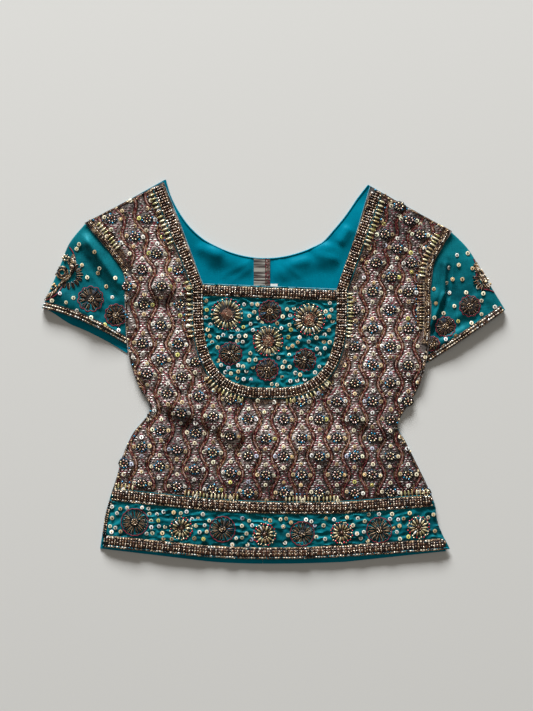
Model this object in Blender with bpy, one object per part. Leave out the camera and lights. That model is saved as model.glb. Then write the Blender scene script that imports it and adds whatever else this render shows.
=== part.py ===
"""An embroidered short-sleeved top, lying flat with its front up.

The cut: a front (brocade body, plain yoke and hem border), a back in two halves that
meet at a centre opening, and two short sleeves, each one folded piece of cloth. Beaded
bands cover the seams of the front and edge its armholes. The top lies on
the plane z = 0: +X is to the right of someone who looks down on it and +Y runs from the
hem to the shoulders. All sizes are in millimetres until a mesh is finished.
"""

import math
from collections import namedtuple

import bmesh
import bpy
from mathutils import Vector
from mathutils.bvhtree import BVHTree

MM = 0.001

# Thicknesses of the cloths and of what is sewn on them
BACK_THICK = 1.2
FRONT_THICK = 1.5
SLEEVE_THICK = 1.2
PLACKET_THICK = 1.0
LABEL_THICK = 0.8
BAND_THICK = 1.2
ROSETTE_THICK = 1.2
SEAM_GAP = 0.3
LAID_GAP = 0.35

# How high the underside of the front lies: at its side seams, in the middle, and where
# it passes over the end of a sleeve
SIDE_REST = BACK_THICK + SEAM_GAP
MIDDLE_REST = 3.3
SLEEVE_REST = 4.15
LOWEST_OVER_BACK = 2.85
SIDE_SLOPE = 13.0
SLEEVE_HOLD = 4.0
SLEEVE_SLOPE = 20.0

# Grid steps between two rows of a table, and across the parts of a row
FRONT_ROW_STEPS = 3
BACK_ROW_STEPS = 2
SIDE_COLUMNS = 9
MIDDLE_COLUMNS = 16
BACK_SIDE_COLUMNS = 5
BACK_MIDDLE_COLUMNS = 5

# Each row runs across the cloth, from the side seam or the armhole on the left to the
# one on the right, through the lines of the two neck corners. Rows go up from the hem.
Row = namedtuple("Row", "left neck_left centre neck_right right")
FRONT_ROWS = [
    Row((-192, -195), (-77, -208), (-4, -210), (80, -207), (197, -198)),
    Row((-189, -166), (-77, -180), (-4, -184), (80, -182), (184, -171)),
    Row((-183, -142), (-78, -153), (-4, -157), (80, -156), (180, -148)),
    Row((-175, -117), (-78, -128), (-4, -131), (80, -133), (172, -128)),
    Row((-169, -95), (-78, -102), (-4, -105), (80, -107), (161, -105)),
    Row((-157, -69), (-78, -77), (-4, -79), (80, -81), (148, -79)),
    Row((-138, -42), (-79, -49), (-4, -52), (80, -55), (139, -58)),
    Row((-151, -16), (-80, -21), (-4, -22), (80, -23), (160, -22)),
    Row((-161, 15), (-81, 11), (-4, 10), (81, 8), (170, 8)),
    Row((-165, 48), (-82, 45), (-4, 44), (81, 42), (175, 45)),
    Row((-166, 79), (-81, 74), (-4, 71), (78, 69), (176, 74)),
    Row((-167, 108), (-79, 98), (-3, 95), (74, 92), (176, 99)),
    Row((-181, 130), (-91, 130), None, (85, 128), (180, 122)),
    Row((-197, 150), (-106, 170), None, (96, 167), (190, 141)),
    Row((-211, 166), (-123, 212), None, (108, 207), (199, 157)),
]
FRONT_NECK_ROW = 11
FRONT_BORDER_ROW = 2.17
FRONT_LOWER_BAND_ROW = 0.27

# The back has the outline of the front up to the underarm. Above it, its outer edge is
# the armhole line of the sleeve, so those rows have no left and right of their own.
BACK_ROWS = [
    Row((-194, -198), (-77, -212), (-12, -215), (80, -213), (193, -201)),
    Row((-189, -166), (-77, -180), (-12, -184), (80, -182), (184, -171)),
    Row((-183, -142), (-78, -153), (-12, -157), (80, -156), (180, -148)),
    Row((-175, -117), (-78, -128), (-12, -131), (80, -133), (172, -128)),
    Row((-169, -95), (-78, -102), (-12, -105), (80, -107), (161, -105)),
    Row((-157, -69), (-78, -77), (-12, -79), (80, -81), (148, -79)),
    Row((-138, -42), (-79, -49), (-12, -52), (80, -55), (139, -58)),
    Row((-149, -14), (-80, -21), (-12, -22), (80, -23), (153, -26)),
    Row(None, (-81, 11), (-12, 10), (81, 8), None),
    Row(None, (-81, 45), (-12, 41), (75, 45), None),
    Row(None, (-80, 80), (-12, 70), (66, 80), None),
    Row(None, (-79, 115), (-12, 100), (58, 113), None),
    Row(None, (-77, 147), (-12, 127), (54, 144), None),
    Row(None, (-94, 162), None, (69, 160), None),
    Row(None, (-107, 180), None, (82, 176), None),
    Row(None, (-116, 198), None, (95, 195), None),
    Row(None, (-121, 215), None, (106, 209), None),
]
BACK_UNDERARM_ROW = 8
BACK_NECK_ROW = 12
BACK_OPENING_HALF_GAP = 0.15

# Each ring of a sleeve runs from its folded top edge to the underarm, and the rings go
# from the armhole to the cuff. radius is that of the fold, over the outside.
Ring = namedtuple("Ring", "fold middle underarm radius")
SLEEVES = {
    "left": [
        Ring((-211, 165), (-161, 114), (-154, 24), 1.7),
        Ring((-228, 144), (-175, 100), (-158, 24), 1.85),
        Ring((-238, 120), (-188, 86), (-161, 26), 2.3),
        Ring((-248, 96), (-201, 71), (-163, 28), 2.7),
        Ring((-259, 71), (-214, 57), (-164, 30), 2.9),
    ],
    "right": [
        Ring((199, 156), (165, 102), (157, 6), 1.7),
        Ring((216, 139), (178, 86), (162, 7), 1.85),
        Ring((231, 116), (190, 70), (166, 8), 2.3),
        Ring((245, 92), (203, 54), (170, 9), 2.7),
        Ring((259, 69), (216, 39), (172, 10), 2.9),
    ],
}
# How far the under layer of a sleeve shows below the upper one at the cuff
CUFF_SLIP = {"left": 13.0, "right": 0.0}
UNDERARM_TOP = 2 * SLEEVE_THICK + SEAM_GAP
SLEEVE_AROUND = 2 * (len(BACK_ROWS) - 1 - BACK_UNDERARM_ROW)
SLEEVE_ALONG = 12
FOLD_POINTS = 3

# The largest folds of the cloth: ridges are above 0 and troughs below, along a line
Fold = namedtuple("Fold", "start end half_width height")
FRONT_FOLDS = [
    Fold((-124, -51), (-41, -85), 10, -1.0),
    Fold((-116, -33), (-30, -66), 10, 1.3),
    Fold((-44, -72), (52, -84), 16, 1.0),
    Fold((84, -58), (128, -88), 9, -0.9),
    Fold((70, -34), (126, -62), 9, 1.0),
    Fold((124, -172), (142, -134), 11, -1.0),
    Fold((96, -190), (104, -140), 9, 0.9),
    Fold((-150, 73), (-98, 78), 8, -0.8),
    Fold((-156, 98), (-100, 92), 10, 0.9),
    Fold((-176, 152), (-124, 96), 15, 1.2),
    Fold((108, 152), (146, 82), 15, 1.2),
    Fold((92, 40), (140, -6), 8, 0.9),
    Fold((-120, -198), (-114, -142), 10, 0.9),
    Fold((-60, -204), (-58, -150), 10, -0.7),
    Fold((30, -206), (28, -150), 12, 0.9),
]
SLEEVE_FOLDS = {
    "left": [
        Fold((-204, 146), (-168, 72), 7, 0.8),
        Fold((-236, 92), (-180, 54), 8, 0.6),
    ],
    "right": [
        Fold((192, 120), (184, 44), 7, 0.8),
        Fold((206, 132), (238, 76), 9, 0.6),
    ],
}

# The beaded bands: half their width, and their height over the cloth from edge to edge
BAND_PROFILE = (0.75, 1.15, 0.95, 1.15, 0.75)
NECK_BAND_HALF = 5.6
HEM_BAND_HALF = 6.2
NARROW_BAND_HALF = 3.0
BAND_STEP = 7.0

# The yoke is a rounded U under the neckline, and the neck band runs on its seam
YOKE_CENTRE = (-4.0, 80.0)
YOKE_HALF_WIDTH = 80.5
YOKE_DEPTH = 104.0
YOKE_ROUNDNESS = 2.8
YOKE_BAND_POINTS = 28
NECK_BAND_TOPS = ((-129, 206), (115, 201))
YOKE_BAR_CENTRE_BELOW_NECK = 7.2

# The hook strip of the centre back opening, and the plain label beside it
PLACKET_LEFT, PLACKET_RIGHT = -22.0, -4.0
PLACKET_BOTTOM = -205.0
PLACKET_BELOW_NECKLINE = 0.8
LABEL_BOX = ((-3.4, 78.0), (5.4, 99.5))

# Bead rosettes on the yoke and the hem border, with how many petals their edges have
Rosette = namedtuple("Rosette", "centre radius petals material")
ROSETTES = [
    Rosette((-52, 64), 17, 22, "gold_beads"),
    Rosette((-6, 34), 16, 22, "gold_beads"),
    Rosette((40, 58), 17, 22, "gold_beads"),
    Rosette((-4, 67), 12, 14, "dark_beads"),
    Rosette((-48, 20), 13, 14, "dark_beads"),
    Rosette((35, 13), 12, 14, "dark_beads"),
    Rosette((-7, 2), 12, 14, "dark_beads"),
    Rosette((-155, -168), 14, 18, "dark_beads"),
    Rosette((-103, -175), 13, 16, "gold_beads"),
    Rosette((-57, -176), 14, 18, "dark_beads"),
    Rosette((-10, -182), 13, 16, "gold_beads"),
    Rosette((32, -181), 13, 18, "dark_beads"),
    Rosette((76, -180), 12, 16, "gold_beads"),
    Rosette((118, -177), 12, 18, "dark_beads"),
    Rosette((162, -174), 11.5, 16, "gold_beads"),
]
PETAL_DEPTH = 0.1

# Base colour, roughness and metallic value of each finish
MATERIALS = {
    "brocade": ((0.30, 0.23, 0.21), 0.55, 0.3),
    "teal_silk": ((0.0, 0.22, 0.25), 0.5, 0.0),
    "teal_lining": ((0.0, 0.33, 0.42), 0.35, 0.0),
    "bead_band": ((0.20, 0.13, 0.09), 0.35, 0.6),
    "gold_beads": ((0.52, 0.44, 0.27), 0.3, 0.7),
    "dark_beads": ((0.09, 0.06, 0.05), 0.35, 0.5),
    "placket_weave": ((0.33, 0.28, 0.26), 0.6, 0.2),
    "white_tape": ((0.8, 0.8, 0.78), 0.7, 0.0),
}


def mix(a, b, share):
    """The point between two points of the plane."""
    return (a[0] + (b[0] - a[0]) * share, a[1] + (b[1] - a[1]) * share)


def smooth(share):
    """0 to 1 with a level start and end."""
    share = min(1.0, max(0.0, share))
    return share * share * (3 - 2 * share)


def along(points, place):
    """A smooth curve through points, at place 0 for the first and 1 more for each next one."""
    first = min(int(place), len(points) - 2)
    share = place - first
    before = points[max(first - 1, 0)]
    a, b = points[first], points[first + 1]
    after = points[min(first + 2, len(points) - 1)]
    return tuple(
        a[k]
        + 0.5 * share * (
            b[k] - before[k]
            + share * (2 * before[k] - 5 * a[k] + 4 * b[k] - after[k])
            + share * share * (3 * (a[k] - b[k]) + after[k] - before[k])
        )
        for k in range(len(a))
    )


def straight(points, place):
    """The polyline through points, at place 0 for the first and 1 more for each next one."""
    first = min(int(place), len(points) - 2)
    return mix(points[first], points[first + 1], place - first)


def bow(start, middle, end, share):
    """The parabola through three points, which reaches the middle one at half its length."""
    first = (1 - share) * (1 - 2 * share)
    second = 4 * share * (1 - share)
    third = share * (2 * share - 1)
    return tuple(first * a + second * b + third * c for a, b, c in zip(start, middle, end))


def fold_height(folds, x, y):
    """What the folds add to the height of the cloth at a place."""
    total = 0.0
    for fold in folds:
        run = Vector(fold.end) - Vector(fold.start)
        share = (Vector((x, y)) - Vector(fold.start)).dot(run) / run.length_squared
        nearest = mix(fold.start, fold.end, min(1.0, max(0.0, share)))
        away = math.dist((x, y), nearest) / (1.6 * fold.half_width)
        total += fold.height * (1 - smooth(away))
    return total


def armhole(side, share):
    """The seam of a sleeve and the back, from the shoulder (0) to the underarm (1)."""
    ring = SLEEVES[side][0]
    return bow(ring.fold, ring.middle, ring.underarm, share)


def outline_distance(x, y):
    """How far a place of the front is from its side seams and shoulder seams."""
    lines = [
        [row.left for row in FRONT_ROWS[: FRONT_NECK_ROW - 2]],
        [row.right for row in FRONT_ROWS[: FRONT_NECK_ROW - 2]],
        [FRONT_ROWS[-1].left, FRONT_ROWS[-1].neck_left],
        [FRONT_ROWS[-1].neck_right, FRONT_ROWS[-1].right],
    ]
    nearest = math.inf
    for line in lines:
        for a, b in zip(line, line[1:]):
            run = Vector(b) - Vector(a)
            share = (Vector((x, y)) - Vector(a)).dot(run) / run.length_squared
            nearest = min(nearest, math.dist((x, y), mix(a, b, min(1.0, max(0.0, share)))))
    return nearest


def armhole_reach(x, y):
    """How far inside the line of the nearer armhole a place of the front is, 0 over the sleeve."""
    side = "left" if x < 0 else "right"
    steps = 24
    points = [armhole(side, k / steps) for k in range(steps + 1)]
    away, near = min((math.dist((x, y), p), p) for p in points)
    over_sleeve = abs(x) > abs(near[0]) and y > points[-1][1]
    return 0.0 if over_sleeve else away


def front_underside(x, y):
    """The height of the underside of the front over the table."""
    rise = smooth(outline_distance(x, y) / SIDE_SLOPE)
    height = SIDE_REST + (MIDDLE_REST - SIDE_REST) * rise
    height += fold_height(FRONT_FOLDS, x, y) * rise
    if rise == 1.0:
        height = max(height, LOWEST_OVER_BACK)
    on_sleeve = 1 - smooth((armhole_reach(x, y) - SLEEVE_HOLD) / SLEEVE_SLOPE)
    return height + (max(height, SLEEVE_REST) - height) * on_sleeve


def across(row_points, column, side_columns, middle_columns):
    """A point of a row: straight from the side to the neck line, a bow between the neck lines."""
    left, neck_left, centre, neck_right, right = row_points
    if column <= side_columns:
        return mix(left, neck_left, column / side_columns)
    if column >= side_columns + middle_columns:
        return mix(neck_right, right, (column - side_columns - middle_columns) / side_columns)
    return bow(neck_left, centre, neck_right, (column - side_columns) / middle_columns)


def front_row(place):
    """The five points of a row of the front, at any place between the rows of the table."""
    left = along([row.left for row in FRONT_ROWS], place)
    right = along([row.right for row in FRONT_ROWS], place)
    neck_left = straight([row.neck_left for row in FRONT_ROWS], place)
    neck_right = straight([row.neck_right for row in FRONT_ROWS], place)
    centres = [row.centre for row in FRONT_ROWS[: FRONT_NECK_ROW + 1]]
    centre = straight(centres, min(place, FRONT_NECK_ROW))
    return left, neck_left, centre, neck_right, right


def front_point(share, place):
    """A point of the front, from its left edge (share 0) to its right (1)."""
    columns = 2 * SIDE_COLUMNS + MIDDLE_COLUMNS
    return across(front_row(place), share * columns, SIDE_COLUMNS, MIDDLE_COLUMNS)


def back_row(place):
    """The five points of a row of the back; above the underarm its ends lie on the armholes."""
    below = BACK_ROWS[:BACK_UNDERARM_ROW]
    ends = []
    for side, name, inward in (("left", "left", SEAM_GAP), ("right", "right", -SEAM_GAP)):
        if place >= BACK_UNDERARM_ROW:
            top = len(BACK_ROWS) - 1
            x, y = armhole(side, (top - place) / (top - BACK_UNDERARM_ROW))
        else:
            x, y = along([getattr(row, name) for row in below] + [armhole(side, 1.0)], place)
        on_armhole = smooth(place - BACK_UNDERARM_ROW + 1)
        ends.append((x + 1.6 * inward * on_armhole, y))
    neck_left = along([row.neck_left for row in BACK_ROWS], place)
    neck_right = along([row.neck_right for row in BACK_ROWS], place)
    centres = [row.centre for row in BACK_ROWS[: BACK_NECK_ROW + 1]]
    centre = straight(centres, min(place, BACK_NECK_ROW))
    return ends[0], neck_left, centre, neck_right, ends[1]


def finish(bm, name, material):
    """Turns a mesh in millimetres into a named object in metres."""
    bmesh.ops.recalc_face_normals(bm, faces=bm.faces)
    if bm.calc_volume(signed=True) < 0:
        bmesh.ops.reverse_faces(bm, faces=bm.faces)
    bmesh.ops.scale(bm, vec=(MM, MM, MM), verts=bm.verts)
    mesh = bpy.data.meshes.new(name)
    bm.to_mesh(mesh)
    bm.free()
    mesh.materials.append(material)
    mesh.shade_smooth()
    mesh.set_sharp_from_angle(angle=math.radians(40))
    thing = bpy.data.objects.new(name, mesh)
    bpy.data.collections["embroidered_top"].objects.link(thing)
    return thing


def wall(columns, rows, inner, outer, skip=None):
    """A closed wall of cloth: a grid with a second skin, each laid by its own function.

    inner and outer take a column and a row and give a point in millimetres. skip says
    which cells, by their middles, aren't there.
    """
    bm = bmesh.new()
    bmesh.ops.create_grid(bm, x_segments=columns, y_segments=rows, size=0.5)
    column_of = bm.verts.layers.float.new("column")
    row_of = bm.verts.layers.float.new("row")
    for v in bm.verts:
        v[column_of] = (v.co.x + 0.5) * columns
        v[row_of] = (v.co.y + 0.5) * rows
    if skip:
        gone = []
        for face in bm.faces:
            middle = face.calc_center_median()
            if skip((middle.x + 0.5) * columns, (middle.y + 0.5) * rows):
                gone.append(face)
        bmesh.ops.delete(bm, geom=gone, context="FACES")
    under = set(bm.verts)
    bmesh.ops.extrude_face_region(bm, geom=bm.faces[:])
    for v in bm.verts:
        place = inner if v in under else outer
        v.co = place(round(v[column_of], 3), round(v[row_of], 3))
    return bm


def make_front():
    """The whole front as one wall, before its yoke and border are cut out of it."""
    columns = 2 * SIDE_COLUMNS + MIDDLE_COLUMNS
    rows = (len(FRONT_ROWS) - 1) * FRONT_ROW_STEPS

    def under(column, row):
        x, y = front_point(column / columns, row / FRONT_ROW_STEPS)
        return (x, y, front_underside(x, y))

    def over(column, row):
        x, y, z = under(column, row)
        return (x, y, z + FRONT_THICK)

    def in_neck(column, row):
        beside = SIDE_COLUMNS < column < SIDE_COLUMNS + MIDDLE_COLUMNS
        return beside and row > FRONT_NECK_ROW * FRONT_ROW_STEPS

    return wall(columns, rows, under, over, skip=in_neck)


def make_back(side):
    """One half of the back, flat on the table, from its side seam to the centre opening."""
    rows = (len(BACK_ROWS) - 1) * BACK_ROW_STEPS
    columns = BACK_SIDE_COLUMNS + BACK_MIDDLE_COLUMNS
    sign = -1 if side == "left" else 1

    def at(column, row, z):
        edge, neck_left, centre, neck_right, other_edge = back_row(row / BACK_ROW_STEPS)
        neck = neck_left
        share = (column - BACK_SIDE_COLUMNS) / BACK_MIDDLE_COLUMNS
        if side == "right":
            edge, neck = other_edge, neck_right
        if column <= BACK_SIDE_COLUMNS:
            x, y = mix(edge, neck, column / BACK_SIDE_COLUMNS)
        elif side == "left":
            x, y = bow(neck_left, centre, neck_right, share / 2)
        else:
            x, y = bow(neck_left, centre, neck_right, 1 - share / 2)
        if column == columns:
            x = centre[0] + sign * BACK_OPENING_HALF_GAP
        return (x, y, z)

    def in_neck(column, row):
        return column > BACK_SIDE_COLUMNS and row > BACK_NECK_ROW * BACK_ROW_STEPS

    return wall(
        columns,
        rows,
        lambda column, row: at(column, row, 0.0),
        lambda column, row: at(column, row, BACK_THICK),
        skip=in_neck,
    )


def make_sleeve(side):
    """One sleeve: a single cloth folded along its top edge, its two edges at the underarm."""
    rings = SLEEVES[side]
    around = SLEEVE_AROUND
    columns = 2 * around + FOLD_POINTS + 1

    def ring_at(row):
        place = row / SLEEVE_ALONG * (len(rings) - 1)
        fold = along([ring.fold for ring in rings], place)
        middle = along([ring.middle for ring in rings], place)
        underarm = along([ring.underarm for ring in rings], place)
        radius = along([(ring.radius,) for ring in rings], place)[0]
        return fold, middle, underarm, radius

    def lay(column, row, depth):
        """depth is 0 on the outside of the cloth and SLEEVE_THICK inside the sleeve."""
        fold, middle, underarm, radius = ring_at(row)
        length = math.dist(fold, middle) + math.dist(middle, underarm)
        turn = column - around
        if 0 <= turn <= FOLD_POINTS + 1:
            angle = math.pi * turn / (FOLD_POINTS + 1)
            from_fold = radius - (radius - depth) * math.sin(angle)
            z = radius - (radius - depth) * math.cos(angle)
            x, y = bow(fold, middle, underarm, from_fold / length)
            return (x, y, z)
        upper = turn > 0
        step = column - around - FOLD_POINTS - 1 if upper else around - column
        share = step / around
        x, y = bow(fold, middle, underarm, share)
        if not upper:
            slip = CUFF_SLIP[side] * (row / SLEEVE_ALONG) ** 2 * smooth(share / 0.4)
            return (x, y - slip, depth)
        top = 2 * radius + (UNDERARM_TOP - 2 * radius) * smooth((share - 0.6) / 0.4)
        room = smooth(row / SLEEVE_ALONG / 0.5 - 0.3) * smooth((1 - share) / 0.3)
        top += room * fold_height(SLEEVE_FOLDS[side], x, y)
        return (x, y, top - depth)

    return wall(
        columns,
        SLEEVE_ALONG,
        lambda column, row: lay(column, row, SLEEVE_THICK),
        lambda column, row: lay(column, row, 0.0),
    )


def top_of(surface, x, y):
    """The height of a cloth's upper side at a place, seen from above."""
    hit = surface.ray_cast(Vector((x, y, 50.0)), Vector((0, 0, -1)))[0]
    if hit is None:
        hit = surface.find_nearest(Vector((x, y, 5.0)))[0]
    return hit.z


def make_band(surface, path, half_width, profile=BAND_PROFILE):
    """A beaded band on a cloth: a strip along the path, laid on the points of the cloth."""
    length = sum(math.dist(path(k / 100), path((k + 1) / 100)) for k in range(100))
    columns = max(4, round(length / BAND_STEP))
    rows = len(profile) - 1

    def place(column, row):
        share = column / columns
        before, after = path(max(share - 0.004, 0.0)), path(min(share + 0.004, 1.0))
        run = (Vector(after) - Vector(before)).normalized()
        offset = half_width * (2 * row / rows - 1)
        x, y = path(share)
        return x - run.y * offset, y + run.x * offset

    def under(column, row):
        x, y = place(column, row)
        return (x, y, top_of(surface, x, y) + LAID_GAP)

    def over(column, row):
        x, y, z = under(column, row)
        return (x, y, z + BAND_THICK * profile[int(row)])

    return wall(columns, rows, under, over)


def make_rosette(surface, rosette):
    """A low flower of beads on a cloth, with a wavy edge and a raised middle."""
    bm = bmesh.new()
    segments = 2 * rosette.petals
    bmesh.ops.create_circle(bm, cap_ends=True, cap_tris=True, segments=segments, radius=1.0)
    under = set(bm.verts)
    bmesh.ops.extrude_face_region(bm, geom=bm.faces[:])
    for v in bm.verts:
        from_middle = min(1.0, math.hypot(v.co.x, v.co.y))
        angle = math.atan2(v.co.y, v.co.x)
        petal = 1 - PETAL_DEPTH * (1 - math.cos(rosette.petals * angle)) / 2
        x = rosette.centre[0] + v.co.x * rosette.radius * petal
        y = rosette.centre[1] + v.co.y * rosette.radius * petal
        z = top_of(surface, x, y) + LAID_GAP
        if from_middle < 0.5:
            z += 0.5 * LAID_GAP
        if v not in under:
            z += ROSETTE_THICK * (1.0 + 0.6 * (1 - from_middle))
        v.co = (x, y, z)
    return bm


def neck_band_path(share):
    """Down the left strap, round the yoke on its seam, and up the right strap."""
    (left_x, left_y), (right_x, right_y) = NECK_BAND_TOPS
    cx, cy = YOKE_CENTRE
    left_corner, right_corner = (cx - YOKE_HALF_WIDTH, cy + 14), (cx + YOKE_HALF_WIDTH, cy + 12)
    if share < 0.2:
        return mix((left_x, left_y), left_corner, share / 0.2)
    if share > 0.8:
        return mix(right_corner, (right_x, right_y), (share - 0.8) / 0.2)
    if share < 0.23:
        return mix(left_corner, (cx - YOKE_HALF_WIDTH, cy), (share - 0.2) / 0.03)
    if share > 0.77:
        return mix((cx + YOKE_HALF_WIDTH, cy), right_corner, (share - 0.77) / 0.03)
    return yoke_edge((share - 0.23) / 0.54, 0.0)


def yoke_edge(share, outward):
    """The rounded U of the yoke, from its left top (0) to its right top (1)."""
    angle = math.pi * (1 + share)
    power = 2 / YOKE_ROUNDNESS
    c, s = math.cos(angle), math.sin(angle)
    x = math.copysign(abs(c) ** power, c) * (YOKE_HALF_WIDTH + outward)
    y = math.copysign(abs(s) ** power, s) * (YOKE_DEPTH + outward)
    return (YOKE_CENTRE[0] + x, YOKE_CENTRE[1] + y)


def cutter(name, outline):
    """A tall prism over an outline, which cuts the front and isn't part of the top."""
    bm = bmesh.new()
    corners = [bm.verts.new((x, y, -10.0)) for x, y in outline]
    face = bm.faces.new(corners)
    grown = bmesh.ops.extrude_face_region(bm, geom=[face])
    top = [g for g in grown["geom"] if isinstance(g, bmesh.types.BMVert)]
    bmesh.ops.translate(bm, vec=(0, 0, 40.0), verts=top)
    bmesh.ops.recalc_face_normals(bm, faces=bm.faces)
    bmesh.ops.scale(bm, vec=(MM, MM, MM), verts=bm.verts)
    mesh = bpy.data.meshes.new(name)
    bm.to_mesh(mesh)
    bm.free()
    thing = bpy.data.objects.new(name, mesh)
    bpy.data.collections["cutters"].objects.link(thing)
    thing.hide_render = True
    thing.display_type = "WIRE"
    return thing


def yoke_outline(outward):
    """The outline that parts the yoke from the body, left open above the neckline."""
    curve = [yoke_edge(k / YOKE_BAND_POINTS, outward) for k in range(YOKE_BAND_POINTS + 1)]
    return curve + [(curve[-1][0], 150.0), (curve[0][0], 150.0)]


def border_outline(outward):
    """The outline that parts the hem border from the body."""
    steps = 24
    top = [front_point(k / steps, FRONT_BORDER_ROW) for k in range(steps + 1)]
    top = [(top[0][0] - 30, top[0][1])] + top + [(top[-1][0] + 30, top[-1][1])]
    top = [(x, y + outward) for x, y in top]
    return [(top[0][0], -260.0), (top[-1][0], -260.0)] + top[::-1]


def cut(thing, tool, operation):
    """A Boolean between a piece of the front and a cutter."""
    modifier = thing.modifiers.new(operation.lower() + "_" + tool.name, "BOOLEAN")
    modifier.operation = operation
    modifier.object = tool


def make_materials():
    """One finish for each kind of surface."""
    made = {}
    for name, (colour, roughness, metallic) in MATERIALS.items():
        material = bpy.data.materials.new(name)
        material.use_nodes = True
        shader = material.node_tree.nodes["Principled BSDF"]
        shader.inputs["Base Color"].default_value = (*colour, 1.0)
        shader.inputs["Roughness"].default_value = roughness
        shader.inputs["Metallic"].default_value = metallic
        made[name] = material
    return made


def clear_scene():
    """Starts from nothing, with a collection for the top and one for what cuts it."""
    for thing in list(bpy.data.objects):
        bpy.data.objects.remove(thing)
    for name in ("embroidered_top", "cutters"):
        bpy.context.scene.collection.children.link(bpy.data.collections.new(name))


def build_front(materials):
    """The body, yoke and border of the front; returns the surface that carries the bands."""
    whole = make_front()
    surface = BVHTree.FromBMesh(whole)
    pieces = {
        "front_body": finish(whole.copy(), "front_body", materials["brocade"]),
        "front_yoke": finish(whole.copy(), "front_yoke", materials["teal_silk"]),
        "front_border": finish(whole, "front_border", materials["teal_silk"]),
    }
    half = SEAM_GAP / 2
    cut(pieces["front_body"], cutter("yoke_opening", yoke_outline(half)), "DIFFERENCE")
    cut(pieces["front_body"], cutter("border_opening", border_outline(half)), "DIFFERENCE")
    cut(pieces["front_yoke"], cutter("yoke_shape", yoke_outline(-half)), "INTERSECT")
    cut(pieces["front_border"], cutter("border_shape", border_outline(-half)), "INTERSECT")
    return surface


def build_bands(front, materials):
    """The beaded bands of the neck, the yoke, the hem border and the armholes."""
    neck = front_row(FRONT_NECK_ROW)
    inner_left = YOKE_CENTRE[0] - YOKE_HALF_WIDTH + NECK_BAND_HALF + 1.0
    inner_right = YOKE_CENTRE[0] + YOKE_HALF_WIDTH - NECK_BAND_HALF - 1.0

    def bar_path(share):
        x = inner_left + (inner_right - inner_left) * share
        y = neck[1][1] + (neck[3][1] - neck[1][1]) * share
        return (x, y - YOKE_BAR_CENTRE_BELOW_NECK)

    def hem_path(row):
        return lambda share: front_point(0.016 + 0.968 * share, row)

    def armhole_path(side, lowest):
        def path(share):
            place = lowest + (len(FRONT_ROWS) - 1.05 - lowest) * share
            row = front_row(place)
            edge, toward = (row[0], row[1]) if side == "left" else (row[4], row[3])
            return mix(edge, toward, (NARROW_BAND_HALF + 1.2) / math.dist(edge, toward))

        return path

    bands = {
        "neck_band": (neck_band_path, NECK_BAND_HALF),
        "yoke_bar": (bar_path, NECK_BAND_HALF),
        "hem_band_upper": (hem_path(FRONT_BORDER_ROW), HEM_BAND_HALF),
        "hem_band_lower": (hem_path(FRONT_LOWER_BAND_ROW), HEM_BAND_HALF),
        "armhole_band_left": (armhole_path("left", 11.2), NARROW_BAND_HALF),
        "armhole_band_right": (armhole_path("right", 8.6), NARROW_BAND_HALF),
    }
    for name, (path, half_width) in bands.items():
        finish(make_band(front, path, half_width), name, materials["bead_band"])


def build_back(materials):
    """The two halves of the back, the hook strip over their opening, and the label."""
    for side in ("left", "right"):
        finish(make_back(side), "back_" + side, materials["teal_lining"])
    rest = BACK_THICK + SEAM_GAP
    rows = 24

    def strip(column, row, z):
        x = PLACKET_LEFT + (PLACKET_RIGHT - PLACKET_LEFT) * column
        neckline = back_row(BACK_NECK_ROW)
        width = neckline[3][0] - neckline[1][0]
        top = bow(neckline[1], neckline[2], neckline[3], (x - neckline[1][0]) / width)[1]
        top -= PLACKET_BELOW_NECKLINE
        return (x, PLACKET_BOTTOM + (top - PLACKET_BOTTOM) * row / rows, z)

    placket = wall(
        1,
        rows,
        lambda column, row: strip(column, row, rest),
        lambda column, row: strip(column, row, rest + PLACKET_THICK),
    )
    finish(placket, "placket", materials["placket_weave"])
    (left, low), (right, high) = LABEL_BOX
    label = wall(
        2,
        4,
        lambda column, row: (left + (right - left) * column / 2, low + (high - low) * row / 4, rest),
        lambda column, row: (
            left + (right - left) * column / 2,
            low + (high - low) * row / 4,
            rest + LABEL_THICK,
        ),
    )
    finish(label, "label", materials["white_tape"])


def main():
    clear_scene()
    materials = make_materials()
    front = build_front(materials)
    build_back(materials)
    for side in ("left", "right"):
        finish(make_sleeve(side), "sleeve_" + side, materials["teal_silk"])
    build_bands(front, materials)
    for number, rosette in enumerate(ROSETTES, start=1):
        shape = make_rosette(front, rosette)
        finish(shape, f"rosette_{number:02d}", materials[rosette.material])


main()
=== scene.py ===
# %% [markdown]
# An embroidered top is laid flat and photographed from straight above. Its front carries a
# brocade body, a plain teal yoke and a teal hem border, all of them sewn with beads and
# sequins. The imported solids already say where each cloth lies. This script lays thin cloth
# over them and then sews on everything that sparkles, in the order an embroiderer would:
# cloth, couched cords, threads, beads, sequins.

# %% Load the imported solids
import math
from collections import namedtuple

import bmesh
import bpy
import numpy as np
from mathutils import Matrix, Vector, kdtree, noise
from mathutils.bvhtree import BVHTree


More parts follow.
